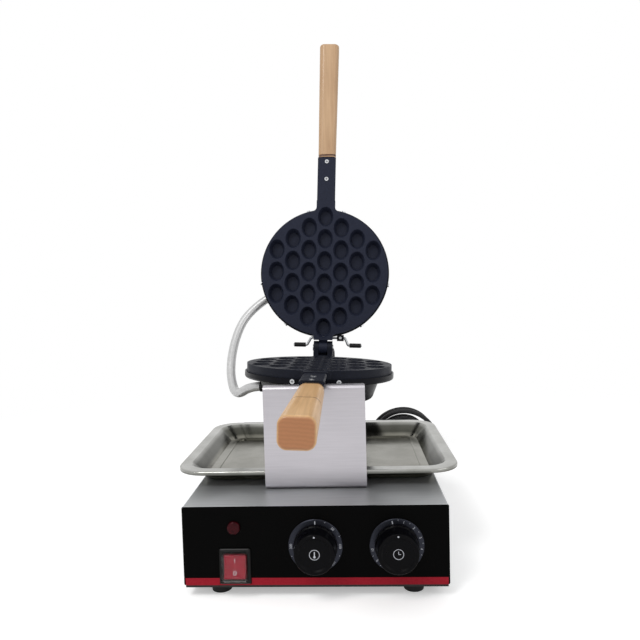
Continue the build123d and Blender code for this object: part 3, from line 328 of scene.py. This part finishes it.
feed_hose, feed_hose_line = hose("feed_hose_sleeve", feed_hose_points, "feed_hose",
                                 knitted_glass_sleeve)
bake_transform(feed_hose)

# Studio: a pale painted floor, a white surround that metal and glass also see, and two soft lamps
# above. The floor's paint is lifted a little where it is seen, so that it stays near white but keeps
# the machine's shadow, and it runs into the surround's white away from the machine.
floor_span = 12.0
floor_lift = 0.36
floor_fade = (0.42, 1.1)
surround_level = 0.62
floor_data = bpy.data.meshes.new("floor")
shape = bmesh.new()
bmesh.ops.create_grid(shape, x_segments=1, y_segments=1, size=floor_span)
shape.to_mesh(floor_data)
shape.free()
floor = bpy.data.objects.new("floor", floor_data)
scene.collection.objects.link(floor)


def seen_by(tree, *rays):
    """One on rays of these kinds and nothing on others. Returns its output."""
    path = add_node(tree, "LightPath")
    seen = path.outputs[rays[0]]
    for ray in rays[1:]:
        seen = add_node(tree, "Math", links={0: seen, 1: path.outputs[ray]}, operation="MAXIMUM").outputs[0]
    return seen


floor_paint, tree, shader = finish("floor_paint", "#f0f0f0", 0.9, Specular_IOR_Level=0.0)
seen = seen_by(tree, "Is Camera Ray", "Is Glossy Ray")
lift = add_node(tree, "Math", {1: floor_lift}, {0: seen}, operation="MULTIPLY")
glow = add_node(tree, "Emission", {"Color": (1, 1, 1, 1)}, {"Strength": lift.outputs[0]})
both = add_node(tree, "AddShader", links={0: shader.outputs[0], 1: glow.outputs[0]})
place = add_node(tree, "TexCoord").outputs["Object"]
distance = add_node(tree, "VectorMath", links={0: place}, operation="LENGTH")
fade = add_node(tree, "MapRange", {"From Min": floor_fade[0], "From Max": floor_fade[1]},
                {"Value": distance.outputs["Value"]}, interpolation_type="SMOOTHSTEP")
faded = add_node(tree, "Math", links={0: fade.outputs[0], 1: seen}, operation="MULTIPLY")
white = add_node(tree, "Emission", {"Color": (1, 1, 1, 1), "Strength": 1.0})
ground = add_node(tree, "MixShader", links={0: faded.outputs[0], 1: both.outputs[0], 2: white.outputs[0]})
tree.links.new(ground.outputs[0], tree.nodes["Material Output"].inputs["Surface"])
floor.data.materials.append(floor_paint)

surround = bpy.data.worlds.new("surround")
scene.world = surround
surround.use_nodes = True
tree = surround.node_tree
seen = seen_by(tree, "Is Camera Ray", "Is Glossy Ray", "Is Transmission Ray")
level = add_node(tree, "MapRange", {"To Min": surround_level, "To Max": 1.0}, {"Value": seen})
backdrop = tree.nodes["Background"]
backdrop.inputs["Color"].default_value = (1, 1, 1, 1)
tree.links.new(level.outputs[0], backdrop.inputs["Strength"])

lamp_aim = Vector((0, 0.05, 0.2))
for name, place, size, power in (("key", Vector((-0.9, -1.3, 2.1)), 0.9, 26),
                                 ("fill", Vector((1.5, -0.9, 1.1)), 1.2, 6)):
    lamp_data = bpy.data.lights.new(name, "AREA")
    lamp_data.size, lamp_data.energy = size, power
    lamp = bpy.data.objects.new(name, lamp_data)
    aimed = (lamp_aim - place).to_track_quat("-Z", "Y").to_matrix().to_4x4()
    lamp.matrix_world = Matrix.Translation(place) @ aimed
    scene.collection.objects.link(lamp)

# Base cover: one sheet of brushed stainless steel, folded down at both sides and held by screws low on
# them. Its grain runs across the machine and softens the room in it to a pale grey. It is drawn
# coarser than real.
brushed_stainless, tree, shader = finish("brushed_stainless", "#abadaf", 0.42, 0.7)
add_grain(tree, shader, (60, 0.9, 0.9), 0.008, ("#a5a7a9", "#b3b5b7"), detail=2.0)
add_smudges(tree, shader, 45, 0.38, 0.50)
dress(brushed_stainless, "base_cover")

# Bottom pan and rear panel: a folded pan of black-lacquered steel under the machine, dull and faintly
# brown with the lacquer's slight orange peel, and at the back a plate of the cover's own brushed
# stainless with a row of vents cut through it.
black_lacquer, tree, shader = finish("black_lacquer", "#1c1817", 0.45, Specular_IOR_Level=0.3)
add_grain(tree, shader, (3, 3, 3), 0.03, ("#181514", "#221d1c"))
dress(black_lacquer, "bottom_plate")
dress(brushed_stainless, "rear_panel")

# Front panel: a steel plate across the base's front under a film printed satin black. The film drinks
# nearly all light, while the plate's cut edges are bare and bright. The film's grain is drawn coarser
# than real.
cut_edge, edge_turned_by = "#c4c6c8", (-0.8, -0.6)
black_printed_film, tree, shader = finish("black_printed_film", "#040404", 0.34)
film_tone = add_grain(tree, shader, (1.2, 1.2, 1.2), 0.01, ("#030303", "#050505"))
add_smudges(tree, shader, 35, 0.30, 0.42)
parts = add_node(tree, "SeparateXYZ", links={0: add_node(tree, "TexCoord").outputs["Normal"]})
bare = add_node(tree, "MapRange", {"From Min": edge_turned_by[0], "From Max": edge_turned_by[1]},
                {"Value": parts.outputs["Y"]})
edged = add_node(tree, "Mix", {7: linear(cut_edge)}, {0: bare.outputs[0], 6: film_tone}, data_type="RGBA")
tree.links.new(edged.outputs[2], shader.inputs["Base Color"])
tree.links.new(bare.outputs[0], shader.inputs["Metallic"])
sheen = add_node(tree, "MapRange", {"To Min": 0.025, "To Max": 0.5}, {"Value": bare.outputs[0]})
tree.links.new(sheen.outputs[0], shader.inputs["Specular IOR Level"])
dress(black_printed_film, "front_panel")

# Red band: a strip of the same film along the panel's foot, printed a deep red that is a touch
# uneven.
red_printed_film, tree, shader = finish("red_printed_film", "#951c2a", 0.34, Specular_IOR_Level=0.06)
add_grain(tree, shader, (1.4, 1.4, 1.4), 0.01, ("#911a28", "#99202d"))
add_smudges(tree, shader, 28, 0.28, 0.42)
dress(red_printed_film, "panel_stripe")

# Feet: four moulded buttons of the plug's black rubber, each held by a screw up through the pan. They
# read matt and dusty against the lacquer.
dress(black_rubber, "feet")

# Screws: pan-headed steel screws, plated with bright zinc, all over the machine. Each small head
# catches the lamp, a little clouded by handling.
zinc_plate, tree, shader = finish("zinc_plate", "#c8cacc", 0.26, 1.0)
add_smudges(tree, shader, 3, 0.18, 0.36)
dress(zinc_plate, "foot_screws", "cover_screws", "stand_screws", "block_screws", "lower_lip_screws",
      "upper_lip_screws", "lower_neck_screws", "upper_neck_screws", "collar_screw")

# Stand: one stainless sheet, folded up at the front and back and screwed down on the base. Its satin
# grain spreads the light to an even, faintly violet grey. It is drawn coarser than real.
satin_stainless, tree, shader = finish("satin_stainless", "#b7b4b9", 0.34, 1.0)
add_grain(tree, shader, (40, 1.6, 1.6), 0.0005, ("#b5b2b7", "#bab7bc"), detail=2.0)
add_smudges(tree, shader, 60, 0.32, 0.40)
dress(satin_stainless, "stand")

# Drip tray: one sheet of stainless steel, pressed to a bowl with a rolled rim, resting on the stand's
# base. Its colour is painted by height: painted shade and a painted dark reflection on the bowl's slopes,
# the floor lighter, and a painted highlight along the rim.
tray_floor_z, tray_rim_z = 0.0925, 0.1080
painted_light_upwards = [(0.0, "#a6a49c"), (0.12, "#a2a098"), (0.30, "#63635d"), (0.72, "#73736e"),
                  (1.0, "#d6d6d5")]
pressed_stainless, tree, shader = finish("pressed_stainless", "#8d8d88", 0.22, 1.0)
steel_tone = add_grain(tree, shader, (34, 34, 34), 0.05, ("#b9b9b4", "#d2d2cf"))
add_smudges(tree, shader, 30, 0.14, 0.26)
place = add_node(tree, "TexCoord").outputs["Object"]
height = add_node(tree, "SeparateXYZ", links={0: place}).outputs["Z"]
level = add_node(tree, "MapRange", {"From Min": tray_floor_z, "From Max": tray_rim_z}, {"Value": height})
# Painted light by height: the slopes painted dark as shade and reflection, the rim painted bright as a
# highlight.
painted_bowl_light = add_node(tree, "ValToRGB", links={"Fac": level.outputs[0]}, stops=painted_light_upwards)
steel_with_painted_bowl_light = add_node(tree, "Mix", {0: 1.0}, {6: steel_tone, 7: painted_bowl_light.outputs["Color"]},
                  data_type="RGBA", blend_type="MULTIPLY")
tree.links.new(steel_with_painted_bowl_light.outputs[2], shader.inputs["Base Color"])
dress(pressed_stainless, "tray")

# Moulds: cast aluminium under a baked black non-stick coat, satin with the casting's sandy grain, which
# is drawn coarser than real. The lower one is the same coat painted darker, as painted shade.
lit_and_shaded_coats = {"lower_mould": ("#14161f", "#12141c", "#191c27"),
         "upper_mould": ("#202331", "#1e212e", "#242837")}
for name, (base_tone, dark_tone, light_tone) in lit_and_shaded_coats.items():
    coated_casting, tree, shader = finish("non_stick_casting_" + name, base_tone, 0.48,
                                          Specular_IOR_Level=0.12)
    add_grain(tree, shader, (1.6, 1.6, 1.6), 0.08, (dark_tone, light_tone))
    add_smudges(tree, shader, 16, 0.42, 0.58)
    dress(coated_casting, name)

# Back covers: pans of pressed steel in black oven enamel, screwed on over the heaters. Enamel is
# darker and glossier than the castings and ripples a little. The bearing's block and the stop rod's
# collar wear the same.
oven_enamel, tree, shader = finish("oven_enamel", "#08080f", 0.32, Specular_IOR_Level=0.10)
add_grain(tree, shader, (5, 5, 5), 0.06, ("#07070d", "#0b0b13"))
add_smudges(tree, shader, 24, 0.24, 0.38)
dress(oven_enamel, "lower_cover", "upper_cover", "rod_collar", "bearing_block")

# Heaters: a ring element in a steel sheath against the back of each mould, inside its cover. The
# sheath has oxidised to a dull, blotchy brown-grey.
oxidised_steel_sheath, tree, shader = finish("oxidised_steel_sheath", "#4b4440", 0.55, 0.7)
add_grain(tree, shader, (6, 6, 6), 0.05, ("#3c3734", "#5c524c"))
dress(oxidised_steel_sheath, "lower_heater", "upper_heater")

# Hinge pin, turning shaft, its collar, the stop rod and the grips' tangs: bright drawn and turned
# steel. Faint tool marks, drawn coarser than real, break its shine.
turned_steel, tree, shader = finish("turned_steel", "#a9abad", 0.30, 1.0)
add_grain(tree, shader, (0.8, 14, 14), 0.01)
add_smudges(tree, shader, 8, 0.22, 0.40)
dress(turned_steel, "hinge_pin", "turning_shaft", "shaft_collar", "stop_rod", "lower_tang", "upper_tang")

# Grips: turned and planed beech under a thin lacquer, its grain along the grip, its ends browner where
# the open grain drinks the lacquer and its grooves painted dark as painted shade. The lower grip is the
# yellower one.
# The fine grain is drawn coarser than real.
beech_grain, beech_clouds = (2.4, 70, 2.4), (16.667, 71.429, 16.667)
beech_relief = 0.05 * millimetre
ring_spacing, heart_aside = 2.856, (21, 0, 17)
end_grain_facing = (0.55, 0.95)
groove_painted_shade = "#4d2c1a"

# Each grip's lie, the end it is rooted at, its grooves, and the tones of its grain, its clouds and its
# ends. A groove has its distance from the root and half its width, in millimetres.
grips = {"lower_grip": (math.radians(2.0), max, [(0.0, 0.9), (3.5, 1.2), (86.6, 0.8)],
                        ("#b38b5c", "#d2a976"), ("#c09460", "#dab282"), ("#9e6a43", "#a66f47")),
         "upper_grip": (math.radians(-83.5), min, [(0.0, 0.9), (3.5, 1.2)],
                        ("#a3815e", "#bb9974"), ("#ad8966", "#c2a07b"), ("#9f6f4c", "#a9774f"))}
for name, (lie, root_pick, grooves, fine_tones, broad_tones, end_tones) in grips.items():
    turn = (lie, 0, 0)
    upright = Matrix.Rotation(lie, 3, "X")
    root = root_pick((upright @ vertex.co).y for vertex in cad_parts[name].data.vertices)
    beech, tree, shader = finish("lacquered_beech_" + name, "#cda378", 0.48, Coat_Weight=0.12)
    place = add_node(tree, "TexCoord")
    turned = add_node(tree, "Mapping", {"Rotation": turn}, {"Vector": place.outputs["Object"]})
    fibres = add_node(tree, "Mapping", {"Scale": [1000.0 / size for size in beech_grain]},
                      {"Vector": turned.outputs[0]})
    fine = add_node(tree, "TexNoise", {"Scale": 1.0, "Detail": 5.0, "Distortion": 0.6},
                    {"Vector": fibres.outputs[0]})
    clouds = add_node(tree, "Mapping", {"Scale": [1000.0 / size for size in beech_clouds]},
                      {"Vector": turned.outputs[0]})
    broad = add_node(tree, "TexNoise", {"Scale": 1.0, "Detail": 2.0}, {"Vector": clouds.outputs[0]})
    tone = add_node(tree, "ValToRGB", links={"Fac": fine.outputs["Fac"]},
                    stops=list(zip((0.36, 0.62), fine_tones)))
    shift = add_node(tree, "ValToRGB", links={"Fac": broad.outputs["Fac"]},
                     stops=list(zip((0.35, 0.65), broad_tones)))
    long_side = add_node(tree, "Mix", {0: 0.5}, {6: tone.outputs["Color"], 7: shift.outputs["Color"]},
                         data_type="RGBA")
    facing = add_node(tree, "Mapping", {"Rotation": turn}, {"Vector": place.outputs["Normal"]},
                      vector_type="VECTOR")
    parts = add_node(tree, "SeparateXYZ", links={0: facing.outputs[0]})
    square = add_node(tree, "Math", links={0: parts.outputs["Y"]}, operation="ABSOLUTE")
    end = add_node(tree, "MapRange", {"From Min": end_grain_facing[0], "From Max": end_grain_facing[1]},
                   {"Value": square.outputs[0]})
    heart = add_node(tree, "Mapping", {"Location": [side * millimetre for side in heart_aside]},
                     {"Vector": turned.outputs[0]})
    ring_scale = math.pi / (10 * ring_spacing * millimetre)
    rings = add_node(tree, "TexWave", {"Scale": ring_scale, "Distortion": 3.0, "Detail": 3.0,
                                       "Detail Scale": 3.0},
                     {"Vector": heart.outputs[0]}, wave_type="RINGS", rings_direction="Y")
    end_tone = add_node(tree, "ValToRGB", links={"Fac": rings.outputs["Fac"]},
                        stops=list(zip((0.0, 1.0), end_tones)))
    wood = add_node(tree, "Mix", links={0: end.outputs[0], 6: long_side.outputs[2],
                                        7: end_tone.outputs["Color"]}, data_type="RGBA")
    along = add_node(tree, "SeparateXYZ", links={0: turned.outputs[0]}).outputs["Y"]
    past_root = add_node(tree, "Math", {1: root}, {0: along}, operation="SUBTRACT")
    reach = add_node(tree, "Math", links={0: past_root.outputs[0]}, operation="ABSOLUTE")
    # Painted shade: each groove, the root's end among them, is painted dark where shade falls in it.
    for middle, half in grooves:
        in_painted_groove_shade = add_node(tree, "Math", {1: middle * millimetre, 2: half * millimetre},
                           {0: reach.outputs[0]}, operation="COMPARE")
        wood = add_node(tree, "Mix", {7: linear(groove_painted_shade)}, {0: in_painted_groove_shade.outputs[0], 6: wood.outputs[2]},
                        data_type="RGBA")
    tree.links.new(wood.outputs[2], shader.inputs["Base Color"])
    bump = add_node(tree, "Bump", {"Strength": 1.0, "Distance": beech_relief},
                    {"Height": fine.outputs["Fac"]})
    tree.links.new(bump.outputs[0], shader.inputs["Normal"])
    dress(beech, name)

# Glands: moulded collars of black nylon where the hoses and the cord come through, and in the same
# nylon the housings of the thermostat and timer. It has a soft, waxy shine, its grain drawn coarser
# than real. The stop rod's two sleeves are rubber.
black_nylon, tree, shader = finish("black_nylon", "#121214", 0.44, Specular_IOR_Level=0.28)
add_grain(tree, shader, (1.2, 1.2, 1.2), 0.05, ("#0f0f11", "#171719"))
dress(black_nylon, "lower_glands", "upper_gland", "base_gland", "cord_gland", "thermostat", "timer_body")
dress(black_rubber, "stop_sleeves")

# Pilot lamp: a round lens of deep red acrylic with a softened rim, glossy and nearly black while
# unlit, on a body of white nylon behind the panel.
red_acrylic, tree, shader = finish("red_acrylic", "#2c0208", 0.12, Specular_IOR_Level=0.10)
add_grain(tree, shader, (3, 3, 3), 0.03, ("#240106", "#36030b"))
dress(red_acrylic, "lamp_lens")

# White nylon: chalky and slightly yellow, its grain drawn coarser than real, for the lamp's body and
# the terminal block inside the base.
white_nylon, tree, shader = finish("white_nylon", "#d9d7d0", 0.5)
add_grain(tree, shader, (1.5, 1.5, 1.5), 0.05, ("#cfcdc6", "#e0ded8"))
dress(white_nylon, "lamp_body", "terminal_block")

# Switch: a body and frame of black ABS set in the panel. The black has a moulded, even gloss, its
# grain drawn coarser than real.
gloss_black_abs, tree, shader = finish("gloss_black_abs", "#0b0c0c", 0.30, Specular_IOR_Level=0.16)
add_grain(tree, shader, (1.6, 1.6, 1.6), 0.03, ("#090a0a", "#0f0f0f"))
dress(gloss_black_abs, "switch_body", "switch_frame")

# Rocker: one moulded piece of red translucent ABS, deep in colour and smooth, which tips on an axle
# between the body's sides.
red_abs, tree, shader = finish("red_abs", "#8c1428", 0.22, Specular_IOR_Level=0.2)
add_grain(tree, shader, (4, 4, 4), 0.02, ("#841225", "#961a2e"))
dress(red_abs, "switch_rocker")

# Cover: a soft boot moulded from clear vinyl and pulled over the frame, thin enough to see straight
# through, with a slightly cloudy shine.
clear_vinyl, tree, shader = finish("clear_vinyl", "#f2eeea", 0.14, Transmission_Weight=1.0, IOR=1.42,
                                   Alpha=0.35)
add_smudges(tree, shader, 5, 0.12, 0.18)
dress(clear_vinyl, "switch_boot")

# Dials and knobs: rings of dark anodised aluminium on the panel, and moulded phenolic knobs pushed on
# steel spindles. The rings have a cool metal sheen, its grain drawn coarser than real.
anodised_aluminium, tree, shader = finish("anodised_aluminium", "#292b33", 0.30, 0.8,
                                          Specular_IOR_Level=0.3)
add_grain(tree, shader, (1.0, 1.0, 1.0), 0.01, ("#25272f", "#2f3139"))
add_smudges(tree, shader, 10, 0.26, 0.40)
dress(anodised_aluminium, "temperature_dial", "timer_dial")

# Phenolic: hard and nearly black, with a low shine that handling has left uneven. Its grain is drawn
# coarser than real.
phenolic, tree, shader = finish("phenolic", "#040406", 0.30, Specular_IOR_Level=0.06)
add_grain(tree, shader, (1.5, 1.5, 1.5), 0.02, ("#030304", "#060609"))
add_smudges(tree, shader, 12, 0.26, 0.38)
dress(phenolic, "temperature_knob", "timer_knob")
dress(turned_steel, "temperature_spindle", "timer_spindle")

# Print on the controls: pale enamel ink for the dials' numbers and strokes, the knobs' dots and round
# signs, and the rocker's two marks, each a hair in front of its surface. It reads as a flat, cool
# grey, its grain drawn coarser than real.
ink_rise = 0.04 * millimetre
pale_enamel_ink, tree, shader = finish("pale_enamel_ink", "#b9bcc4", 0.5)
add_grain(tree, shader, (0.8, 0.8, 0.8), 0.0, ("#b0b3bb", "#c2c5cc"))


def printed(name, shape, node, body):
    """Lays flat print on the front of one of the machine's own pieces and finishes it."""
    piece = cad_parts[node]
    surface = BVHTree.FromPolygons([vertex.co for vertex in piece.data.vertices],
                                   [polygon.vertices for polygon in piece.data.polygons])
    for vertex in shape.verts:
        place = surface.ray_cast(Vector((vertex.co.x, -1, vertex.co.z)), Vector((0, 1, 0)))[0]
        vertex.co.y = place.y - ink_rise
    print_piece = finished_mesh(name, shape)
    print_piece.data.materials.append(pale_enamel_ink)
    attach(print_piece, body)


# Scales: figures round each dial, a short stroke half way to each and a bold one at the start. The
# thermostat's run in steps of 50 and the timer's in minutes.
scale_radius, stroke_radius = 23.4 * millimetre, 25.0 * millimetre
figure_size = 3.4 * millimetre
stroke_width, stroke_length = 0.35 * millimetre, 1.4 * millimetre
start_width, start_length = 0.9 * millimetre, 4.4 * millimetre

# Each dial's start and its step from figure to figure, in degrees, and its figures.
scales = {"temperature_dial": (90, -45, ["50", "100", "150", "200", "250", "300"]),
          "timer_dial": (100, -27, [str(minute) for minute in range(1, 11)])}


def middle_of(name):
    """The middle of the box round one of the machine's own pieces."""
    places = [vertex.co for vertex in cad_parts[name].data.vertices]
    return Vector((min(place[i] for place in places) + max(place[i] for place in places)) / 2
                  for i in range(3))


def facing_front(x, z, turn=0.0):
    """Stands something drawn flat upright, facing the front, turned."""
    upright = Matrix.Rotation(math.pi / 2, 4, "X")
    return Matrix.Translation((x, 0, z)) @ upright @ Matrix.Rotation(turn, 4, "Z")


def on_ring(middle, radius, angle):
    """A place on a ring that faces the front, its own up pointing outwards."""
    return facing_front(middle.x + radius * math.cos(angle), middle.z + radius * math.sin(angle),
                        angle - math.pi / 2)


def add_figures(shape, text, size, place):
    """Adds plain figures, their middle at a place."""
    drawn = bpy.data.curves.new("figures", "FONT")
    drawn.body, drawn.size = text, size
    drawn.align_x, drawn.align_y = "CENTER", "CENTER"
    holder = bpy.data.objects.new("figures", drawn)
    scene.collection.objects.link(holder)
    flat = bpy.data.meshes.new_from_object(holder)
    flat.transform(place)
    shape.from_mesh(flat)
    bpy.data.objects.remove(holder)


def add_stroke(shape, place, wide, tall):
    """Adds a straight stroke, its middle at a place."""
    bmesh.ops.create_grid(shape, x_segments=2, y_segments=2, size=0.5,
                          matrix=place @ Matrix.Diagonal((wide, tall, 1, 1)))


for name, (first, step, figures) in scales.items():
    middle = middle_of(name)
    shape = bmesh.new()
    for count, figure in enumerate(figures, 1):
        angle = math.radians(first + count * step)
        add_figures(shape, figure, figure_size, on_ring(middle, scale_radius, angle))
        half_way = angle - math.radians(step) / 2
        add_stroke(shape, on_ring(middle, stroke_radius, half_way), stroke_width, stroke_length)
    add_stroke(shape, on_ring(middle, scale_radius, math.radians(first)), start_width, start_length)
    printed(name.replace("dial", "scale"), shape, name, "base")

# Knob prints: a dot on the face's rim that points at the scale, and in the middle a ring with a plain
# sign in it, a thermometer on one knob and a clock on the other.
dot_radius, dot_reach = 0.8 * millimetre, 16.9 * millimetre
sign_radius, sign_line = 4.9 * millimetre, 0.5 * millimetre
tube_rise, tube_width, tube_length = 0.6 * millimetre, 0.9 * millimetre, 4.6 * millimetre
bulb_drop, bulb_radius = 2.0 * millimetre, 1.1 * millimetre
hand_width, long_hand, short_hand = 0.5 * millimetre, 3.0 * millimetre, 2.4 * millimetre
long_hand_rise, short_hand_aside = 1.3 * millimetre, 1.0 * millimetre
band_sides = 40


def add_band(shape, place, inner, outer):
    """Adds a round band, or a full dot where its inner radius is nothing."""
    rims = [bmesh.ops.create_circle(shape, segments=band_sides, radius=radius, cap_ends=not inner,
                                    matrix=place)["verts"]
            for radius in (outer, inner) if radius]
    if inner:
        edges = {edge for rim in rims for vertex in rim for edge in vertex.link_edges}
        bmesh.ops.bridge_loops(shape, edges=list(edges))


for control in ("temperature", "timer"):
    middle = middle_of(control + "_knob")
    shape = bmesh.new()
    add_band(shape, facing_front(middle.x, middle.z + dot_reach), 0, dot_radius)
    add_band(shape, facing_front(middle.x, middle.z), sign_radius - sign_line, sign_radius)
    if control == "temperature":
        add_stroke(shape, facing_front(middle.x, middle.z + tube_rise), tube_width, tube_length)
        add_band(shape, facing_front(middle.x, middle.z - bulb_drop), 0, bulb_radius)
    else:
        add_stroke(shape, facing_front(middle.x, middle.z + long_hand_rise), hand_width, long_hand)
        add_stroke(shape, facing_front(middle.x + short_hand_aside, middle.z), short_hand, hand_width)
    printed(control + "_sign", shape, control + "_knob", control + "_control")

# Rocker marks: the usual two in the same ink, a stroke on the upper half for on and a ring on the
# lower half for off.
mark_offset = 5.8 * millimetre
mark_width, mark_length = 0.7 * millimetre, 3.4 * millimetre
ring_inner, ring_outer = 1.2 * millimetre, 1.8 * millimetre
middle = middle_of("switch_rocker")
shape = bmesh.new()
add_stroke(shape, facing_front(middle.x, middle.z + mark_offset), mark_width, mark_length)
add_band(shape, facing_front(middle.x, middle.z - mark_offset), ring_inner, ring_outer)
printed("rocker_marks", shape, "switch_rocker", "rocker")

# Cross recesses: the driver's cross in the middle of each screw's head, drawn as an inlay of painted
# shade a hair above the head's flat. Its span and width go by the head's radius.
recess_span, recess_width = 1.25, 0.24
weld_within, flat_within = 0.001 * millimetre, 0.01 * millimetre
screw_bodies = {"foot_screws": "base", "cover_screws": "base", "stand_screws": "base",
                "block_screws": "base", "lower_lip_screws": "turning_mould",
                "lower_neck_screws": "turning_mould", "upper_lip_screws": "lid",
                "upper_neck_screws": "lid", "collar_screw": "lid"}

# Painted shade in a recess: nearly black and dull against the bright zinc head, where no light comes.
recess_painted_shade, tree, shader = finish("recess_painted_shade", "#2b2b2d", 0.6, 0.6)
add_grain(tree, shader, (0.5, 0.5, 0.5), 0.0, ("#1f1f21", "#37373a"))


def separate_screws(shape):
    """The vertices of each screw of a merged mesh."""
    seen, screws = set(), []
    for start in shape.verts:
        screw, queue = [], [start]
        while queue:
            vertex = queue.pop()
            if vertex not in seen:
                seen.add(vertex)
                screw.append(vertex)
                queue += [edge.other_vert(vertex) for edge in vertex.link_edges]
        if screw:
            screws.append(screw)
    return screws


def head_top(screw):
    """The radius, middle and outward direction of a screw's widest flat end, which is its head's."""
    widest = (0, None, None)
    for face in dict.fromkeys(face for vertex in screw for face in vertex.link_faces):
        reach = max(vertex.co.dot(face.normal) for vertex in screw) - flat_within
        if face.calc_center_median().dot(face.normal) > reach:
            rim = [vertex.co for vertex in screw if vertex.co.dot(face.normal) > reach]
            middle = sum(rim, Vector()) / len(rim)
            radius = max((place - middle).length for place in rim)
            widest = max(widest, (radius, middle, face.normal.copy()), key=lambda top: top[0])
    return widest


for name, body in screw_bodies.items():
    merged = bmesh.new()
    merged.from_mesh(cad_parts[name].data)
    bmesh.ops.remove_doubles(merged, verts=merged.verts, dist=weld_within)
    merged.normal_update()
    shape = bmesh.new()
    for radius, middle, out in map(head_top, separate_screws(merged)):
        flat = out.to_track_quat("Z", "Y").to_matrix().to_4x4()
        place = Matrix.Translation(middle + out * ink_rise) @ flat
        add_stroke(shape, place, recess_width * radius, recess_span * radius)
        add_stroke(shape, place, recess_span * radius, recess_width * radius)
    merged.free()
    # Painted shade: a dark cross on each head where the recess's shade falls.
    painted_recess_shade = finished_mesh(name + "_painted_recess_shade", shape)
    painted_recess_shade.data.materials.append(recess_painted_shade)
    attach(painted_recess_shade, body)
